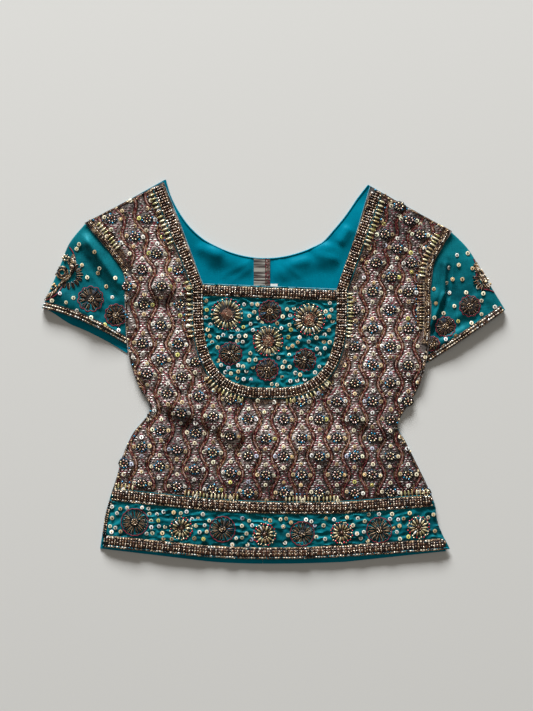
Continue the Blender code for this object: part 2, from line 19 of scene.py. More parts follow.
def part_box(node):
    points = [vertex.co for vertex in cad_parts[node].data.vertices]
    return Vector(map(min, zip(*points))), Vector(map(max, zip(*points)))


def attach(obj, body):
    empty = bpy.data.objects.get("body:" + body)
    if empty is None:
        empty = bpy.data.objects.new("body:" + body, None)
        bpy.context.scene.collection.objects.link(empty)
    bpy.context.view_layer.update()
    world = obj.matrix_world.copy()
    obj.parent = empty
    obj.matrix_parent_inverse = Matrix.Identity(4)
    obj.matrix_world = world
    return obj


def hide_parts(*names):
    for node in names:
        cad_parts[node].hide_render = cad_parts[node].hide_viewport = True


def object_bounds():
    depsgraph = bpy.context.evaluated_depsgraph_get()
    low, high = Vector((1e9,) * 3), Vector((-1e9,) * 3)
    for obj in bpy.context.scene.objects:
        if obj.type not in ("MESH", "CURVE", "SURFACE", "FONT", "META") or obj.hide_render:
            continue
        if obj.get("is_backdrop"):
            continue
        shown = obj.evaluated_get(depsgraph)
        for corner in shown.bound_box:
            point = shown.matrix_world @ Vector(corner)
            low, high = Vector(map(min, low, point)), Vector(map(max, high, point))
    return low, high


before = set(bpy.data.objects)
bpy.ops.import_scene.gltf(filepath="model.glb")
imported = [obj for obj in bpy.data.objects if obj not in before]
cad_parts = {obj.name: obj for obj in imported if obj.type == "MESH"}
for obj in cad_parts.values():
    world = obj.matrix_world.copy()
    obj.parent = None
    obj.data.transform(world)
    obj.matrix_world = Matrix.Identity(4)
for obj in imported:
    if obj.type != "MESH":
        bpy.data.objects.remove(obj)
cad_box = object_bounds()
# Metres in a millimetre, millimetres in a pixel of the photo, and the pixel at the origin
MM, PIXEL, ORIGIN = 0.001, 1.12, (273.5, 371.5)
SIDES = ("left", "right")
rng = np.random.default_rng(7)
print("solids:", len(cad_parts), "box in m:", [tuple(round(c, 3) for c in p) for p in cad_box])

# %% [markdown]
# Everything below is placed in millimetres, as on a paper pattern, and becomes metres when a
# mesh is finished. The front is a table of rows, each a line of five points across the cloth.
# A curve through the same column of every row gives the side seams. The rows are the ones
# that the solids were made from, so the thin cloth has their outline.

# %% The paper pattern of the front, the back and the sleeves
Row = namedtuple("Row", "left neck_left centre neck_right right")
FRONT_ROWS = [
    Row((-192, -195), (-77, -208), (-4, -210), (80, -207), (197, -198)),
    Row((-189, -166), (-77, -180), (-4, -184), (80, -182), (184, -171)),
    Row((-183, -142), (-78, -153), (-4, -157), (80, -156), (180, -148)),
    Row((-175, -117), (-78, -128), (-4, -131), (80, -133), (172, -128)),
    Row((-169, -95), (-78, -102), (-4, -105), (80, -107), (161, -105)),
    Row((-157, -69), (-78, -77), (-4, -79), (80, -81), (148, -79)),
    Row((-138, -42), (-79, -49), (-4, -52), (80, -55), (139, -58)),
    Row((-151, -16), (-80, -21), (-4, -22), (80, -23), (160, -22)),
    Row((-161, 15), (-81, 11), (-4, 10), (81, 8), (170, 8)),
    Row((-165, 48), (-82, 45), (-4, 44), (81, 42), (175, 45)),
    Row((-166, 79), (-81, 74), (-4, 71), (78, 69), (176, 74)),
    Row((-167, 108), (-79, 98), (-3, 95), (74, 92), (176, 99)),
    Row((-181, 130), (-91, 130), None, (85, 128), (180, 122)),
    Row((-197, 150), (-106, 170), None, (96, 167), (190, 141)),
    Row((-211, 166), (-123, 212), None, (108, 207), (199, 157)),
]
NECK_ROW = 11
BORDER_ROW = 24 / 11
LOWER_BAND_ROW = 0.27
# The back's side seams lie under the front's up to the waist, and its opening is at x = -12
BACK_ROWS = [
    Row((-194, -198), (-77, -212), (-12, -215), (80, -213), (193, -201)),
    *(row._replace(centre=(-12, row.centre[1])) for row in FRONT_ROWS[1:7]),
    Row((-149, -14), (-80, -21), (-12, -22), (80, -23), (153, -26)),
    Row(None, (-81, 11), (-12, 10), (81, 8), None),
    Row(None, (-81, 45), (-12, 41), (75, 45), None),
    Row(None, (-80, 80), (-12, 70), (66, 80), None),
    Row(None, (-79, 115), (-12, 100), (58, 113), None),
    Row(None, (-77, 147), (-12, 127), (54, 144), None),
    Row(None, (-94, 162), None, (69, 160), None),
    Row(None, (-107, 180), None, (82, 176), None),
    Row(None, (-116, 198), None, (95, 195), None),
    Row(None, (-121, 215), None, (106, 209), None),
]
UNDERARM_ROW, BACK_NECK_ROW = 8, 12
FRONT_TOP, BACK_TOP = len(FRONT_ROWS) - 1, len(BACK_ROWS) - 1
Ring = namedtuple("Ring", "fold middle underarm radius")
SLEEVES = {
    "left": [
        Ring((-211, 165), (-161, 114), (-154, 24), 1.7),
        Ring((-228, 144), (-175, 100), (-158, 24), 1.85),
        Ring((-238, 120), (-188, 86), (-161, 26), 2.3),
        Ring((-248, 96), (-201, 71), (-163, 28), 2.7),
        Ring((-259, 71), (-214, 57), (-164, 30), 2.9),
    ],
    "right": [
        Ring((199, 156), (165, 102), (157, 6), 1.7),
        Ring((216, 139), (178, 86), (162, 7), 1.85),
        Ring((231, 116), (190, 70), (166, 8), 2.3),
        Ring((245, 92), (203, 54), (170, 9), 2.7),
        Ring((259, 69), (216, 39), (172, 10), 2.9),
    ],
}
CUFF_SLIP = {"left": 9.5, "right": 0.0}
# How high a sleeve's upper layer lies at the underarm, and how low a fold may press it
UNDERARM_TOP, LOWEST_TOP = 2.7, 1.7
# The cells of the front's grid, and how far across it the lines of the two neck corners lie
SIDE_CELLS, MIDDLE_CELLS, ROW_CELLS = 39, 69, 11
FRONT_CELLS = 2 * SIDE_CELLS + MIDDLE_CELLS
NECK_SHARES = (SIDE_CELLS / FRONT_CELLS, 1 - SIDE_CELLS / FRONT_CELLS)


def mix(a, b, share):
    """The point between two points."""
    return (a[0] + (b[0] - a[0]) * share, a[1] + (b[1] - a[1]) * share)


def smooth(share):
    """0 to 1 with a level start and end."""
    share = min(1.0, max(0.0, share))
    return share * share * (3 - 2 * share)


def along(points, place):
    """A smooth curve through points, at place 0 for the first and 1 more for each next one."""
    first = min(int(place), len(points) - 2)
    t = place - first
    p = [points[min(max(first + k, 0), len(points) - 1)] for k in (-1, 0, 1, 2)]
    return tuple(
        b + 0.5 * t * (c - a + t * (2 * a - 5 * b + 4 * c - d + t * (3 * (b - c) + d - a)))
        for a, b, c, d in zip(*p)
    )


def straight(points, place):
    """The straight line from each point to the next."""
    first = min(int(place), len(points) - 2)
    return mix(points[first], points[first + 1], place - first)


def bow(start, middle, end, t):
    """The parabola through three points, which reaches the middle one at half its length."""
    weights = ((1 - t) * (1 - 2 * t), 4 * t * (1 - t), t * (2 * t - 1))
    return tuple(sum(w * c for w, c in zip(weights, cs)) for cs in zip(start, middle, end))


def front_row(place):
    """The five points of the front at a row, or between two rows."""
    left = along([row.left for row in FRONT_ROWS], place)
    right = along([row.right for row in FRONT_ROWS], place)
    neck_left = straight([row.neck_left for row in FRONT_ROWS], place)
    neck_right = straight([row.neck_right for row in FRONT_ROWS], place)
    centres = [row.centre for row in FRONT_ROWS[: NECK_ROW + 1]]
    return left, neck_left, straight(centres, min(place, NECK_ROW)), neck_right, right


def front_point(share, place):
    """A point of the front, from its left seam (0) to its right one (1)."""
    left, neck_left, centre, neck_right, right = front_row(place)
    low, high = NECK_SHARES
    if share <= low:
        return mix(left, neck_left, share / low)
    if share >= high:
        return mix(neck_right, right, (share - high) / low)
    return bow(neck_left, centre, neck_right, (share - low) / (high - low))


print("front at the waist:", [tuple(round(c) for c in p) for p in front_row(6)])

# %% [markdown]
# A cloth that lies on something takes its height. A ray sent straight down on the solid finds
# that height, and where the ray falls in the narrow gap of a seam the nearest point serves.
# The same call later seats every bead on the finished cloth, with the direction the cloth
# faces there, so nothing floats and nothing sinks.

# %% Read heights with rays
DOWN, ABOVE = Vector((0, 0, -1)), 60


def solid_tree(*nodes):
    """One searchable surface of these solids, in millimetres."""
    bm = bmesh.new()
    for node in nodes:
        bm.from_mesh(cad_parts[node].data)
    bmesh.ops.scale(bm, vec=(1 / MM, 1 / MM, 1 / MM), verts=bm.verts)
    tree = BVHTree.FromBMesh(bm)
    bm.free()
    return tree


def height(tree, x, y):
    """The height of the highest surface at a place."""
    hit = tree.ray_cast(Vector((x, y, ABOVE)), DOWN)[0]
    return (hit or tree.find_nearest(Vector((x, y, 6)))[0]).z


def seat(tree, x, y):
    """Where a ray from above meets a cloth, and the way the cloth faces there."""
    spot, facing, _, _ = tree.ray_cast(Vector((x, y, ABOVE)), DOWN)
    if spot is not None and facing.z < 0:
        facing = -facing
    return spot, facing


front_solid = solid_tree("front_body", "front_yoke", "front_border")
print("front is", round(height(front_solid, 0, 0), 2), "mm high in the middle")

# %% [markdown]
# Colours are given as a colour picker shows them and turned into the linear values that the
# shader works with. A finish is one small function, so that each material is a few lines:
# what it is made of, how it shines and what roughens it. Beads carry their own colour as an
# attribute on their points, so thousands of them share one material.

# %% Helpers for finishes


def linear(red, green, blue):
    """A colour from 0 to 255 as the shader wants it."""
    return tuple(
        (c / 12.92 if c <= 0.04045 else ((c + 0.055) / 1.055) ** 2.4)
        for c in (red / 255, green / 255, blue / 255)
    ) + (1.0,)


def new_finish(name, colour, roughness, metallic=0.0, **more):
    """A material with its plain values set on the shader's own sockets."""
    material = bpy.data.materials.new(name)
    material.use_nodes = True
    shader = material.node_tree.nodes["Principled BSDF"]
    values = {"Base Color": colour, "Roughness": roughness, "Metallic": metallic, **more}
    for socket, value in values.items():
        shader.inputs[socket].default_value = value
    return material, material.node_tree, shader


def add(tree, kind, settings=None, **inputs):
    """A node with its settings and its unlinked inputs; a linked input takes a socket."""
    node = tree.nodes.new(kind)
    for key, value in (settings or {}).items():
        setattr(node, key, value)
    for key, value in inputs.items():
        socket = node.inputs[int(key[1:])] if key[0] == "_" else node.inputs[key.replace("_", " ")]
        if isinstance(value, bpy.types.NodeSocket):
            tree.links.new(value, socket)
        else:
            socket.default_value = value
    return node


def stretched(tree, scale, turn=0.0):
    """Object coordinates, stretched by a different scale each way."""
    where = add(tree, "ShaderNodeTexCoord").outputs["Object"]
    return add(
        tree, "ShaderNodeMapping", Vector=where, Scale=scale, Rotation=(0, 0, turn)
    ).outputs["Vector"]


def ramp(tree, value, stops):
    """Colours along a value, each stop a place and a colour."""
    node = add(tree, "ShaderNodeValToRGB", Fac=value)
    while len(node.color_ramp.elements) < len(stops):
        node.color_ramp.elements.new(0.5)
    for element, (place, colour) in zip(node.color_ramp.elements, stops):
        element.position = place
        element.color = colour
    return node.outputs["Color"]


def roughen(tree, shader, value, strength, distance):
    """Bump from a value, joined to the shader."""
    bump = add(tree, "ShaderNodeBump", Height=value, Strength=strength, Distance=distance)
    tree.links.new(bump.outputs["Normal"], shader.inputs["Normal"])


# %% [markdown]
# The teal cloth is a thin woven silk with a soft shine. Its threads run across and along, so
# two stretched noises make slubs both ways, and a slower noise lightens and darkens it in broad
# patches.
# The lining of the back is a smoother satin: the same idea with a tighter highlight.

# %% Silk, satin and brocade ground


def woven(name, dark, light, roughness, sheen, slub):
    """A plain woven cloth whose threads run across and along."""
    tint = linear(40, 190, 205)
    material, tree, shader = new_finish(
        name, dark, roughness, **{
            "Specular IOR Level": 0.35, "Specular Tint": tint,
            "Sheen Weight": sheen, "Sheen Roughness": 0.4, "Sheen Tint": tint,
        }
    )
    across = add(tree, "ShaderNodeTexNoise", Vector=stretched(tree, (180, 2400, 400)), Scale=1.0)
    up = add(tree, "ShaderNodeTexNoise", Vector=stretched(tree, (2400, 180, 400)), Scale=1.0)
    both = add(
        tree, "ShaderNodeMath", {"operation": "ADD"}, _0=across.outputs[0], _1=up.outputs[0]
    )
    half = add(
        tree, "ShaderNodeMath", {"operation": "MULTIPLY"}, _0=both.outputs[0], _1=0.5
    ).outputs[0]
    slow = add(tree, "ShaderNodeTexNoise", Vector=stretched(tree, (26, 40, 26)), Scale=1.0)
    blend = add(tree, "ShaderNodeMath", {"operation": "ADD"}, _0=half, _1=slow.outputs[0])
    share = add(
        tree, "ShaderNodeMapRange", Value=blend.outputs[0], From_Min=0.78, From_Max=1.25
    ).outputs[0]
    colour = ramp(tree, share, [(0.0, dark), (1.0, light)])
    tree.links.new(colour, shader.inputs["Base Color"])
    roughen(tree, shader, half, slub, 0.0004)
    return material


silk = woven("teal_silk", linear(6, 65, 74), linear(15, 113, 124), 0.45, 0.06, 0.5)
satin = woven("teal_satin", linear(0, 102, 124), linear(0, 124, 148), 0.32, 0.04, 0.12)


def brocade_ground():
    """The ground between the cords: level silver threads, darkened by the painted shade stored on
    the points.
    """
    material, tree, shader = new_finish("brocade_ground", linear(60, 40, 38), 0.5, 0.1)
    flecks = add(
        tree, "ShaderNodeTexNoise", Vector=stretched(tree, (260, 820, 300)), Scale=1.0, Detail=2.0
    ).outputs[0]
    colour = ramp(tree, flecks, [
        (0.34, linear(60, 43, 40)), (0.44, linear(120, 97, 92)),
        (0.54, linear(172, 157, 150)), (0.66, linear(216, 210, 204)),
    ])
    # The attribute holds painted shade beside cords and motifs and the painted light and shade of
    # the folds
    shade = add(tree, "ShaderNodeAttribute", {"attribute_name": "shade"}).outputs["Fac"]
    shaded = add(tree, "ShaderNodeVectorMath", {"operation": "SCALE"}, _0=colour, Scale=shade)
    tree.links.new(shaded.outputs[0], shader.inputs["Base Color"])
    roughen(tree, shader, flecks, 0.6, 0.0004)
    return material


brocade = brocade_ground()
print("cloth finishes:", silk.name, satin.name, brocade.name)

# %% [markdown]
# Beads, sequins and metal threads have one finish each. The colour comes from the "tint"
# attribute, and a fine noise breaks up the shine, because a bead is never an even mirror.

# %% Finishes of beads, sequins and threads


def tinted(name, roughness, metallic, speck, **more):
    """A shiny finish whose colour is stored on the points of the mesh."""
    material, tree, shader = new_finish(name, linear(128, 128, 128), roughness, metallic, **more)
    tint = add(tree, "ShaderNodeAttribute", {"attribute_name": "tint"}).outputs["Color"]
    fine = add(tree, "ShaderNodeTexNoise", Vector=stretched(tree, (900, 900, 900)), Scale=1.0)
    spread = add(
        tree, "ShaderNodeMapRange", Value=fine.outputs[0], From_Min=0.35, From_Max=0.65,
        To_Min=1.0 - speck, To_Max=1.0 + speck,
    ).outputs[0]
    varied = add(
        tree, "ShaderNodeVectorMath", {"operation": "SCALE"}, _0=tint, Scale=spread
    ).outputs[0]
    tree.links.new(varied, shader.inputs["Base Color"])
    return material


bead_finish = tinted("glass_beads", 0.2, 0.25, 0.2, **{"Coat Weight": 0.3, "Coat Roughness": 0.1})
sequin_finish = tinted("sequins", 0.28, 0.1, 0.1)
thread_finish = tinted("metal_thread", 0.38, 0.2, 0.3)
cotton_finish = tinted("cotton_thread", 0.75, 0.0, 0.25)

# %% [markdown]
# Each cloth starts as a flat grid whose points are laid one by one. An extrude then gives it
# a second skin, a little under the first, so the cloth has a real edge. The skin that shows
# takes the first material and the skin inside takes the lining.

# %% Cloth from a grid


def lay_grid(columns, rows, place, skip=None):
    """A grid of faces, with each point at place(share across, share up)."""
    bm = bmesh.new()
    bmesh.ops.create_grid(bm, x_segments=columns, y_segments=rows, size=0.5)
    if skip:
        middles = [(face, face.calc_center_median()) for face in bm.faces]
        gone = [face for face, m in middles if skip(m.x + 0.5, m.y + 0.5)]
        bmesh.ops.delete(bm, geom=gone, context="FACES")
    for v in bm.verts:
        v.co = place(v.co.x + 0.5, v.co.y + 0.5)
    return bm


def even_out(bm, rounds):
    """Smooths the heights alone, so that outlines stay."""
    for _ in range(rounds):
        bmesh.ops.smooth_vert(
            bm, verts=bm.verts, factor=0.5,
            use_axis_x=False, use_axis_y=False, use_axis_z=True,
        )


def face_outwards(bm):
    """Turns the faces of a closed form outwards."""
    bmesh.ops.recalc_face_normals(bm, faces=bm.faces)
    if bm.calc_volume(signed=True) < 0:
        bmesh.ops.reverse_faces(bm, faces=bm.faces)


def thicken(bm, depth):
    """A second skin, depth behind the first along the way each point faces."""
    bm.normal_update()
    first = list(bm.verts)
    behind = [v.co - v.normal * depth for v in first]
    inner_faces = list(bm.faces)
    bmesh.ops.extrude_face_region(bm, geom=bm.faces[:])
    for v, spot in zip(first, behind):
        v.co = spot
    for face in inner_faces:
        face.material_index = 1
    face_outwards(bm)


def finish_piece(bm, name, materials, slot, stands_for):
    """A mesh in millimetres becomes a piece in metres that rides on the top."""
    bmesh.ops.scale(bm, vec=(MM, MM, MM), verts=bm.verts)
    mesh = bpy.data.meshes.new(name)
    bm.to_mesh(mesh)
    bm.free()
    for material in materials:
        mesh.materials.append(material)
    mesh.shade_smooth()
    mesh.set_sharp_from_angle(angle=math.radians(50))
    return join_top(bpy.data.objects.new(name, mesh), slot, stands_for)


def join_top(piece, slot, stands_for=()):
    """Puts a piece in the scene on the root, and hides the solids that it stands for."""
    bpy.context.scene.collection.objects.link(piece)
    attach(piece, "root")
    if stands_for:
        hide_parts(*stands_for)
    print(piece.name, len(piece.data.polygons), "faces")
    return piece


# %% [markdown]
# The front is one cloth that the maker cut into body, yoke and border, so one function lays
# all three. Its form has three layers: the height of the solid, the folds that the photo
# shows as bright ridges and dark troughs, and the fine crinkle of each cloth. A fold is a
# line with a width that fades out at its ends.

# %% The folds of the front
Fold = namedtuple("Fold", "start end half_width height")
FINE_FOLDS = [
    Fold((-124, -51), (-41, -85), 9, -0.8),
    Fold((-118, -36), (-24, -68), 9, 0.7),
    Fold((-60, -68), (52, -86), 15, 0.8),
    Fold((84, -60), (126, -88), 7, -0.8),
    Fold((88, -40), (128, -66), 7, 0.6),
    Fold((-10, -92), (44, -128), 16, 0.6),
    Fold((122, -168), (134, -134), 9, -0.8),
    Fold((96, -160), (108, -132), 8, 0.6),
    Fold((-150, 73), (-98, 78), 6, -0.8),
    Fold((-156, 92), (-98, 90), 7, 0.5),
    Fold((-176, 156), (-124, 92), 11, 0.7),
    Fold((-140, 178), (-112, 120), 8, -0.5),
    Fold((112, 152), (146, 82), 10, 0.6),
    Fold((96, 30), (146, -10), 7, -0.5),
    Fold((-150, -4), (-100, -14), 8, 0.5),
    Fold((-160, -120), (-110, -96), 8, -0.5),
    Fold((140, 20), (166, -20), 7, 0.5),
    Fold((-156, -190), (-150, -150), 7, 0.5),
    Fold((-128, -196), (-124, -152), 6, -0.5),
    Fold((-86, -200), (-82, -156), 8, 0.5),
    Fold((4, -200), (2, -160), 9, -0.4),
    Fold((56, -200), (54, -160), 8, 0.5),
    Fold((146, -192), (140, -150), 7, -0.6),
]


def fold_height(folds, x, y):
    """What a list of folds adds at a place."""
    total = 0.0
    for fold in folds:
        (ax, ay), (bx, by) = fold.start, fold.end
        dx, dy = bx - ax, by - ay
        share = ((x - ax) * dx + (y - ay) * dy) / (dx * dx + dy * dy)
        share = min(1.0, max(0.0, share))
        away = math.hypot(x - ax - dx * share, y - ay - dy * share) / (1.6 * fold.half_width)
        total += fold.height * (1 - smooth(away))
    return total


def ripple(x, y, size_x, size_y, seed):
    """Uneven noise of about -1 to 1, longer one way than the other."""
    return noise.noise(Vector((x / size_x, y / size_y, seed)))


def crinkle(x, y, seed):
    """Sharp little ridges across a gathered silk, between soft hollows."""
    bent = y + 3.0 * ripple(x, y, 30, 40, seed)
    ridge = 1 - abs(ripple(x, bent, 13, 6.4, seed + 5))
    return 1.3 * ridge ** 3 - 0.6 + 0.7 * ripple(x, bent, 8.5, 4.6, seed + 9)


print("deepest fold:", min(fold.height for fold in FINE_FOLDS), "mm")

# %% [markdown]
# The brocade's pattern is a net of ogees, lines that swing apart and together, with a round
# motif in each opening. Its columns run up the cloth and every second one is shifted by half
# a repeat. The pattern has its own coordinates, column and repeat, and one function lays them
# on the cloth. It leans the columns outwards in the straps and draws them in at the waist.
# A second one goes back: it says how far a place is from the nearest line and motif, so the
# cloth can swell between the lines and the threads can leave room.

# %% The net of the brocade
COLUMN_STEP, REPEAT = 17.7 * PIXEL, 36.4 * PIXEL
NET_X, NET_Y = (266 - ORIGIN[0]) * PIXEL, (ORIGIN[1] - 419.5) * PIXEL
# How far a line swings to each side, in columns
SWING = 0.195


def pattern(column, repeat):
    """Where a place of the pattern lies on the front, in millimetres."""
    x = NET_X + COLUMN_STEP * column
    y = NET_Y - REPEAT * repeat
    if y > 85:
        x += math.copysign(0.00188 * (y - 85) ** 2, column)
    if column < 0:
        pinch = math.exp(-(((y + 32) / 31) ** 2))
        x += 9.0 * pinch * smooth((-column - 2) / 4)
        y += 1.7 * max(0.0, -column - 0.7) * smooth((46 - y) / 67)
        strap = math.exp(-(((y - 82) / 45) ** 2)) * smooth((-column - 3) / 2)
        x, y = x + 3.0 * strap, y + 6.5 * strap
    elif y > 91:
        y -= 0.22 * (y - 91)
    return x, y


def phase(column):
    """Where a column's motifs start: every second column is half a repeat lower."""
    return 0.0 if column % 2 else 0.5


def line_column(column, repeat):
    """Where the line to the right of a column swings to at a repeat."""
    return column + 0.5 + SWING * math.cos(2 * math.pi * (repeat - phase(column)))


def net_places(x, y):
    """How far a place is from the nearest line and the nearest motif, in millimetres."""
    column = (x - NET_X) / COLUMN_STEP
    repeat = (NET_Y - y) / REPEAT
    for _ in range(4):
        px, py = pattern(column, repeat)
        column += (x - px) / COLUMN_STEP
        repeat -= (y - py) / REPEAT
    near = math.floor(column)
    line = min(abs(column - line_column(k, repeat)) for k in (near - 1, near, near + 1))
    motif = min(
        math.hypot(
            (column - k) * COLUMN_STEP,
            (repeat - phase(k) - round(repeat - phase(k))) * REPEAT,
        )
        for k in (near, near + 1)
    )
    return line * COLUMN_STEP * 0.85, motif


# Patches of painted light (a positive gain) and painted shade (a negative gain) where the folds
# catch or lose the light; they also set how much silver shows
Patch = namedtuple("Patch", "middle reach gain")
PAINTED_LIGHT_PATCHES = [
    Patch((-20, -82), (70, 30), 0.42), Patch((-128, 140), (34, 60), 0.4),
    Patch((-130, 20), (34, 60), 0.3), Patch((118, 60), (40, 75), 0.32),
    Patch((60, -128), (110, 24), -0.7), Patch((150, -90), (40, 44), -0.7),
    Patch((124, 170), (60, 52), -0.65), Patch((-90, -128), (80, 18), -0.4),
    Patch((-102, -64), (28, 24), -0.5), Patch((-66, -92), (36, 12), -0.35),
    Patch((-62, -62), (40, 12), -0.3), Patch((-128, 76), (40, 12), -0.22),
    Patch((-160, 185), (50, 26), -0.35), Patch((120, -30), (30, 16), -0.25),
]


def shine(x, y):
    """Painted light and shade at a place over a slow random change, also how much silver shows: 0.2
    to 1.1.
    """
    total = 0.7 + 0.24 * ripple(x, y, 24, 24, 12.0)
    for patch in PAINTED_LIGHT_PATCHES:
        dx = (x - patch.middle[0]) / patch.reach[0]
        dy = (y - patch.middle[1]) / patch.reach[1]
        total += patch.gain * math.exp(-dx * dx - dy * dy)
    return min(1.1, max(0.2, total))


def thread_painted_light(x, y):
    """How light the threads are painted at a place by the painted light and shade, about 0.5 to
    1.06.
    """
    return 0.42 + 0.58 * shine(x, y)


def shade(x, y):
    """How light the ground is: silver in the openings, painted shade by lines and motifs, painted
    light and shade of folds.
    """
    line, motif = net_places(x, y)
    by_line = 0.15 + 0.85 * smooth((line - 2.2) / 1.5)
    by_motif = 0.35 + 0.65 * smooth((motif - 5) / 3)
    return shine(x, y) * by_line * by_motif


COLUMNS = range(-11, 12)
REPEATS = range(-9, 4)
motifs = [(k, phase(k) + n) for k in COLUMNS for n in REPEATS]
print("possible motifs:", len(motifs))

# %% [markdown]
# The yoke is cut out of the front along a rounded U, a superellipse: between a circle and a
# square. The faces inside it go to the yoke and the others to the body. Their ragged edges
# are then pulled onto the curve. The seam lies under the bead band in the end.

# %% Body, yoke and border of the front
YOKE_CENTRE, YOKE_HALF_WIDTH, YOKE_DEPTH, YOKE_ROUNDNESS = (-4.0, 80.0), 80.5, 104.0, 2.8
# The yoke's edge is found among this many points, by a cloth's edge that is this near
EDGE_POINTS, EDGE_REACH = 401, 3.2
# How strongly a cloth shows the folds, how high its crinkle stands, and how far the brocade
# swells between the lines of its net
FOLD_GAIN = {"body": 2.3, "border": 0.9}
CRINKLE = {"yoke": 1.9, "border": 1.6}
SWELL = 1.8


def yoke_edge(share, outward):
    """The U of the yoke, from its left top (0) to its right top (1)."""
    angle = math.pi * (1 + share)
    c, s = math.cos(angle), math.sin(angle)
    x = math.copysign(abs(c) ** (2 / YOKE_ROUNDNESS), c) * (YOKE_HALF_WIDTH + outward)
    y = math.copysign(abs(s) ** (2 / YOKE_ROUNDNESS), s) * (YOKE_DEPTH + outward)
    return (YOKE_CENTRE[0] + x, YOKE_CENTRE[1] + y)


def in_yoke(x, y):
    """Whether a place of the front is inside the U."""
    across = abs(x - YOKE_CENTRE[0]) / YOKE_HALF_WIDTH
    down = max(0.0, YOKE_CENTRE[1] - y) / YOKE_DEPTH
    return across ** YOKE_ROUNDNESS + down ** YOKE_ROUNDNESS < 1


def front_part(share, up):
    """Which of the three cloths a cell of the front belongs to, or None in the neckline."""
    row = up * FRONT_TOP
    if row < BORDER_ROW:
        return "border"
    beside = NECK_SHARES[0] < share < NECK_SHARES[1]
    if row > NECK_ROW:
        return None if beside else "body"
    return "yoke" if beside and in_yoke(*front_point(share, row)) else "body"


def front_surface(part, fineness):
    """The upper skin of one cloth of the front, with its folds and its crinkle."""
    def place(share, up):
        x, y = front_point(share, up * FRONT_TOP)
        return (x, y, height(front_solid, x, y))

    bm = lay_grid(
        FRONT_CELLS * fineness, FRONT_TOP * ROW_CELLS * fineness, place,
        skip=lambda s, u: front_part(s, u) != part,
    )
    even_out(bm, 10 * fineness)
    edge = kdtree.KDTree(EDGE_POINTS)
    outward = 0.15 if part == "body" else -0.15
    for k in range(EDGE_POINTS):
        edge.insert((*yoke_edge(k / (EDGE_POINTS - 1), outward), 0), k)
    edge.balance()
    for v in bm.verts:
        x, y = v.co.x, v.co.y
        if part != "border" and v.is_boundary and y < YOKE_CENTRE[1] + 1:
            spot, _, away = edge.find((x, y, 0))
            if away < EDGE_REACH:
                v.co.x, v.co.y = spot.x, spot.y
        if part == "body":
            line, _ = net_places(x, y)
            folds = FOLD_GAIN[part] * fold_height(FINE_FOLDS, x, y)
            v.co.z += folds + 0.25 * ripple(x, y, 14, 5, 2.0)
            v.co.z += SWELL * smooth(line / 7.5) - 0.7
        elif part == "yoke":
            v.co.z += CRINKLE[part] * crinkle(x, y, 3.0)
        else:
            folds = FOLD_GAIN[part] * fold_height(FINE_FOLDS, x, y)
            v.co.z += folds + CRINKLE[part] * crinkle(x, y, 8.0)
    return bm


cloth_tree = {}
for part, material, slot, fineness in (
    ("body", brocade, "brocade", 1), ("yoke", silk, "teal_silk", 2),
    ("border", silk, "teal_silk", 2),
):
    bm = front_surface(part, fineness)
    cloth_tree[part] = BVHTree.FromBMesh(bm)
    thicken(bm, 0.9)
    piece = finish_piece(bm, "cloth_front_" + part, [material, satin], slot, ["front_" + part])
    # The body's points carry the ground's painted light and shade
    if part == "body":
        shades = piece.data.attributes.new("shade", "FLOAT", "POINT")
        values = [shade(v.co.x / MM, v.co.y / MM) for v in piece.data.vertices]
        shades.data.foreach_set("value", values)

# %% [markdown]
# The back shows its satin lining in the neckline and its outer brocade underneath, where it
# lies on the table. Its two halves meet at the hook strip. Satin shows every soft wave, so
# shallow swells are laid into the part that can be seen. The lowest skin stays flat.

# %% The two halves of the back
SWELLS = [
    Fold((-104, 172), (-66, 130), 12, 2.1),
    Fold((-66, 130), (-20, 114), 10, 1.9),
    Fold((102, 176), (60, 128), 12, 2.1),
    Fold((60, 128), (4, 110), 10, 1.9),
    Fold((-80, 137), (-62, 132), 6, 1.9),
    Fold((82, 158), (76, 147), 5, 2.6),
    Fold((46, 137), (62, 140), 5, 2.1),
    Fold((22, 121), (36, 124), 5, 1.6),
    Fold((48, 131), (55, 130), 3.5, 1.5),
    Fold((65, 127), (70, 125), 3.5, 1.5),
    Fold((-24, 124), (-56, 108), 2.4, 0.7),
    Fold((-24, 117), (-46, 101), 2.2, 0.6),
    Fold((3, 122), (12, 104), 2.2, 0.7),
    Fold((7, 124), (30, 106), 2.2, 0.6),
]


def armhole(side, share):
    """The seam of sleeve and back, from the shoulder (0) to the underarm (1)."""
    ring = SLEEVES[side][0]
    return bow(ring.fold, ring.middle, ring.underarm, share)


def back_edge(side, place):
    """The outer edge of a half of the back: the side seam, then the armhole."""
    if place >= UNDERARM_ROW:
        x, y = armhole(side, (BACK_TOP - place) / (BACK_TOP - UNDERARM_ROW))
    else:
        below = [getattr(row, side) for row in BACK_ROWS[:UNDERARM_ROW]]
        x, y = along(below + [armhole(side, 1.0)], place)
    inward = 0.5 if side == "left" else -0.5
    return (x + inward * smooth(place - UNDERARM_ROW + 1), y)


def back_neck(side, place):
    """The line of a neck corner; above the opening it is the neckline itself."""
    points = [getattr(row, "neck_" + side) for row in BACK_ROWS]
    if place <= BACK_NECK_ROW:
        return along(points[: BACK_NECK_ROW + 1], place)
    top = BACK_ROWS[BACK_NECK_ROW]
    share = 0.15 if side == "left" else 0.85
    before = bow(top.neck_left, top.centre, top.neck_right, share)
    return along([before] + points[BACK_NECK_ROW:], place - BACK_NECK_ROW + 1)


def back_point(side, share, place):
    """A point of half a back, from its outer edge (0) to the centre opening (1)."""
    neck = back_neck(side, place)
    other = back_neck("right" if side == "left" else "left", min(place, BACK_NECK_ROW))
    centres = [row.centre for row in BACK_ROWS[: BACK_NECK_ROW + 1]]
    centre = straight(centres, min(place, BACK_NECK_ROW))
    if share <= 0.5:
        return mix(back_edge(side, place), neck, share / 0.5)
    x, y = bow(neck, centre, other, share - 0.5)
    return (centre[0] + (-0.15 if side == "left" else 0.15), y) if share > 0.999 else (x, y)


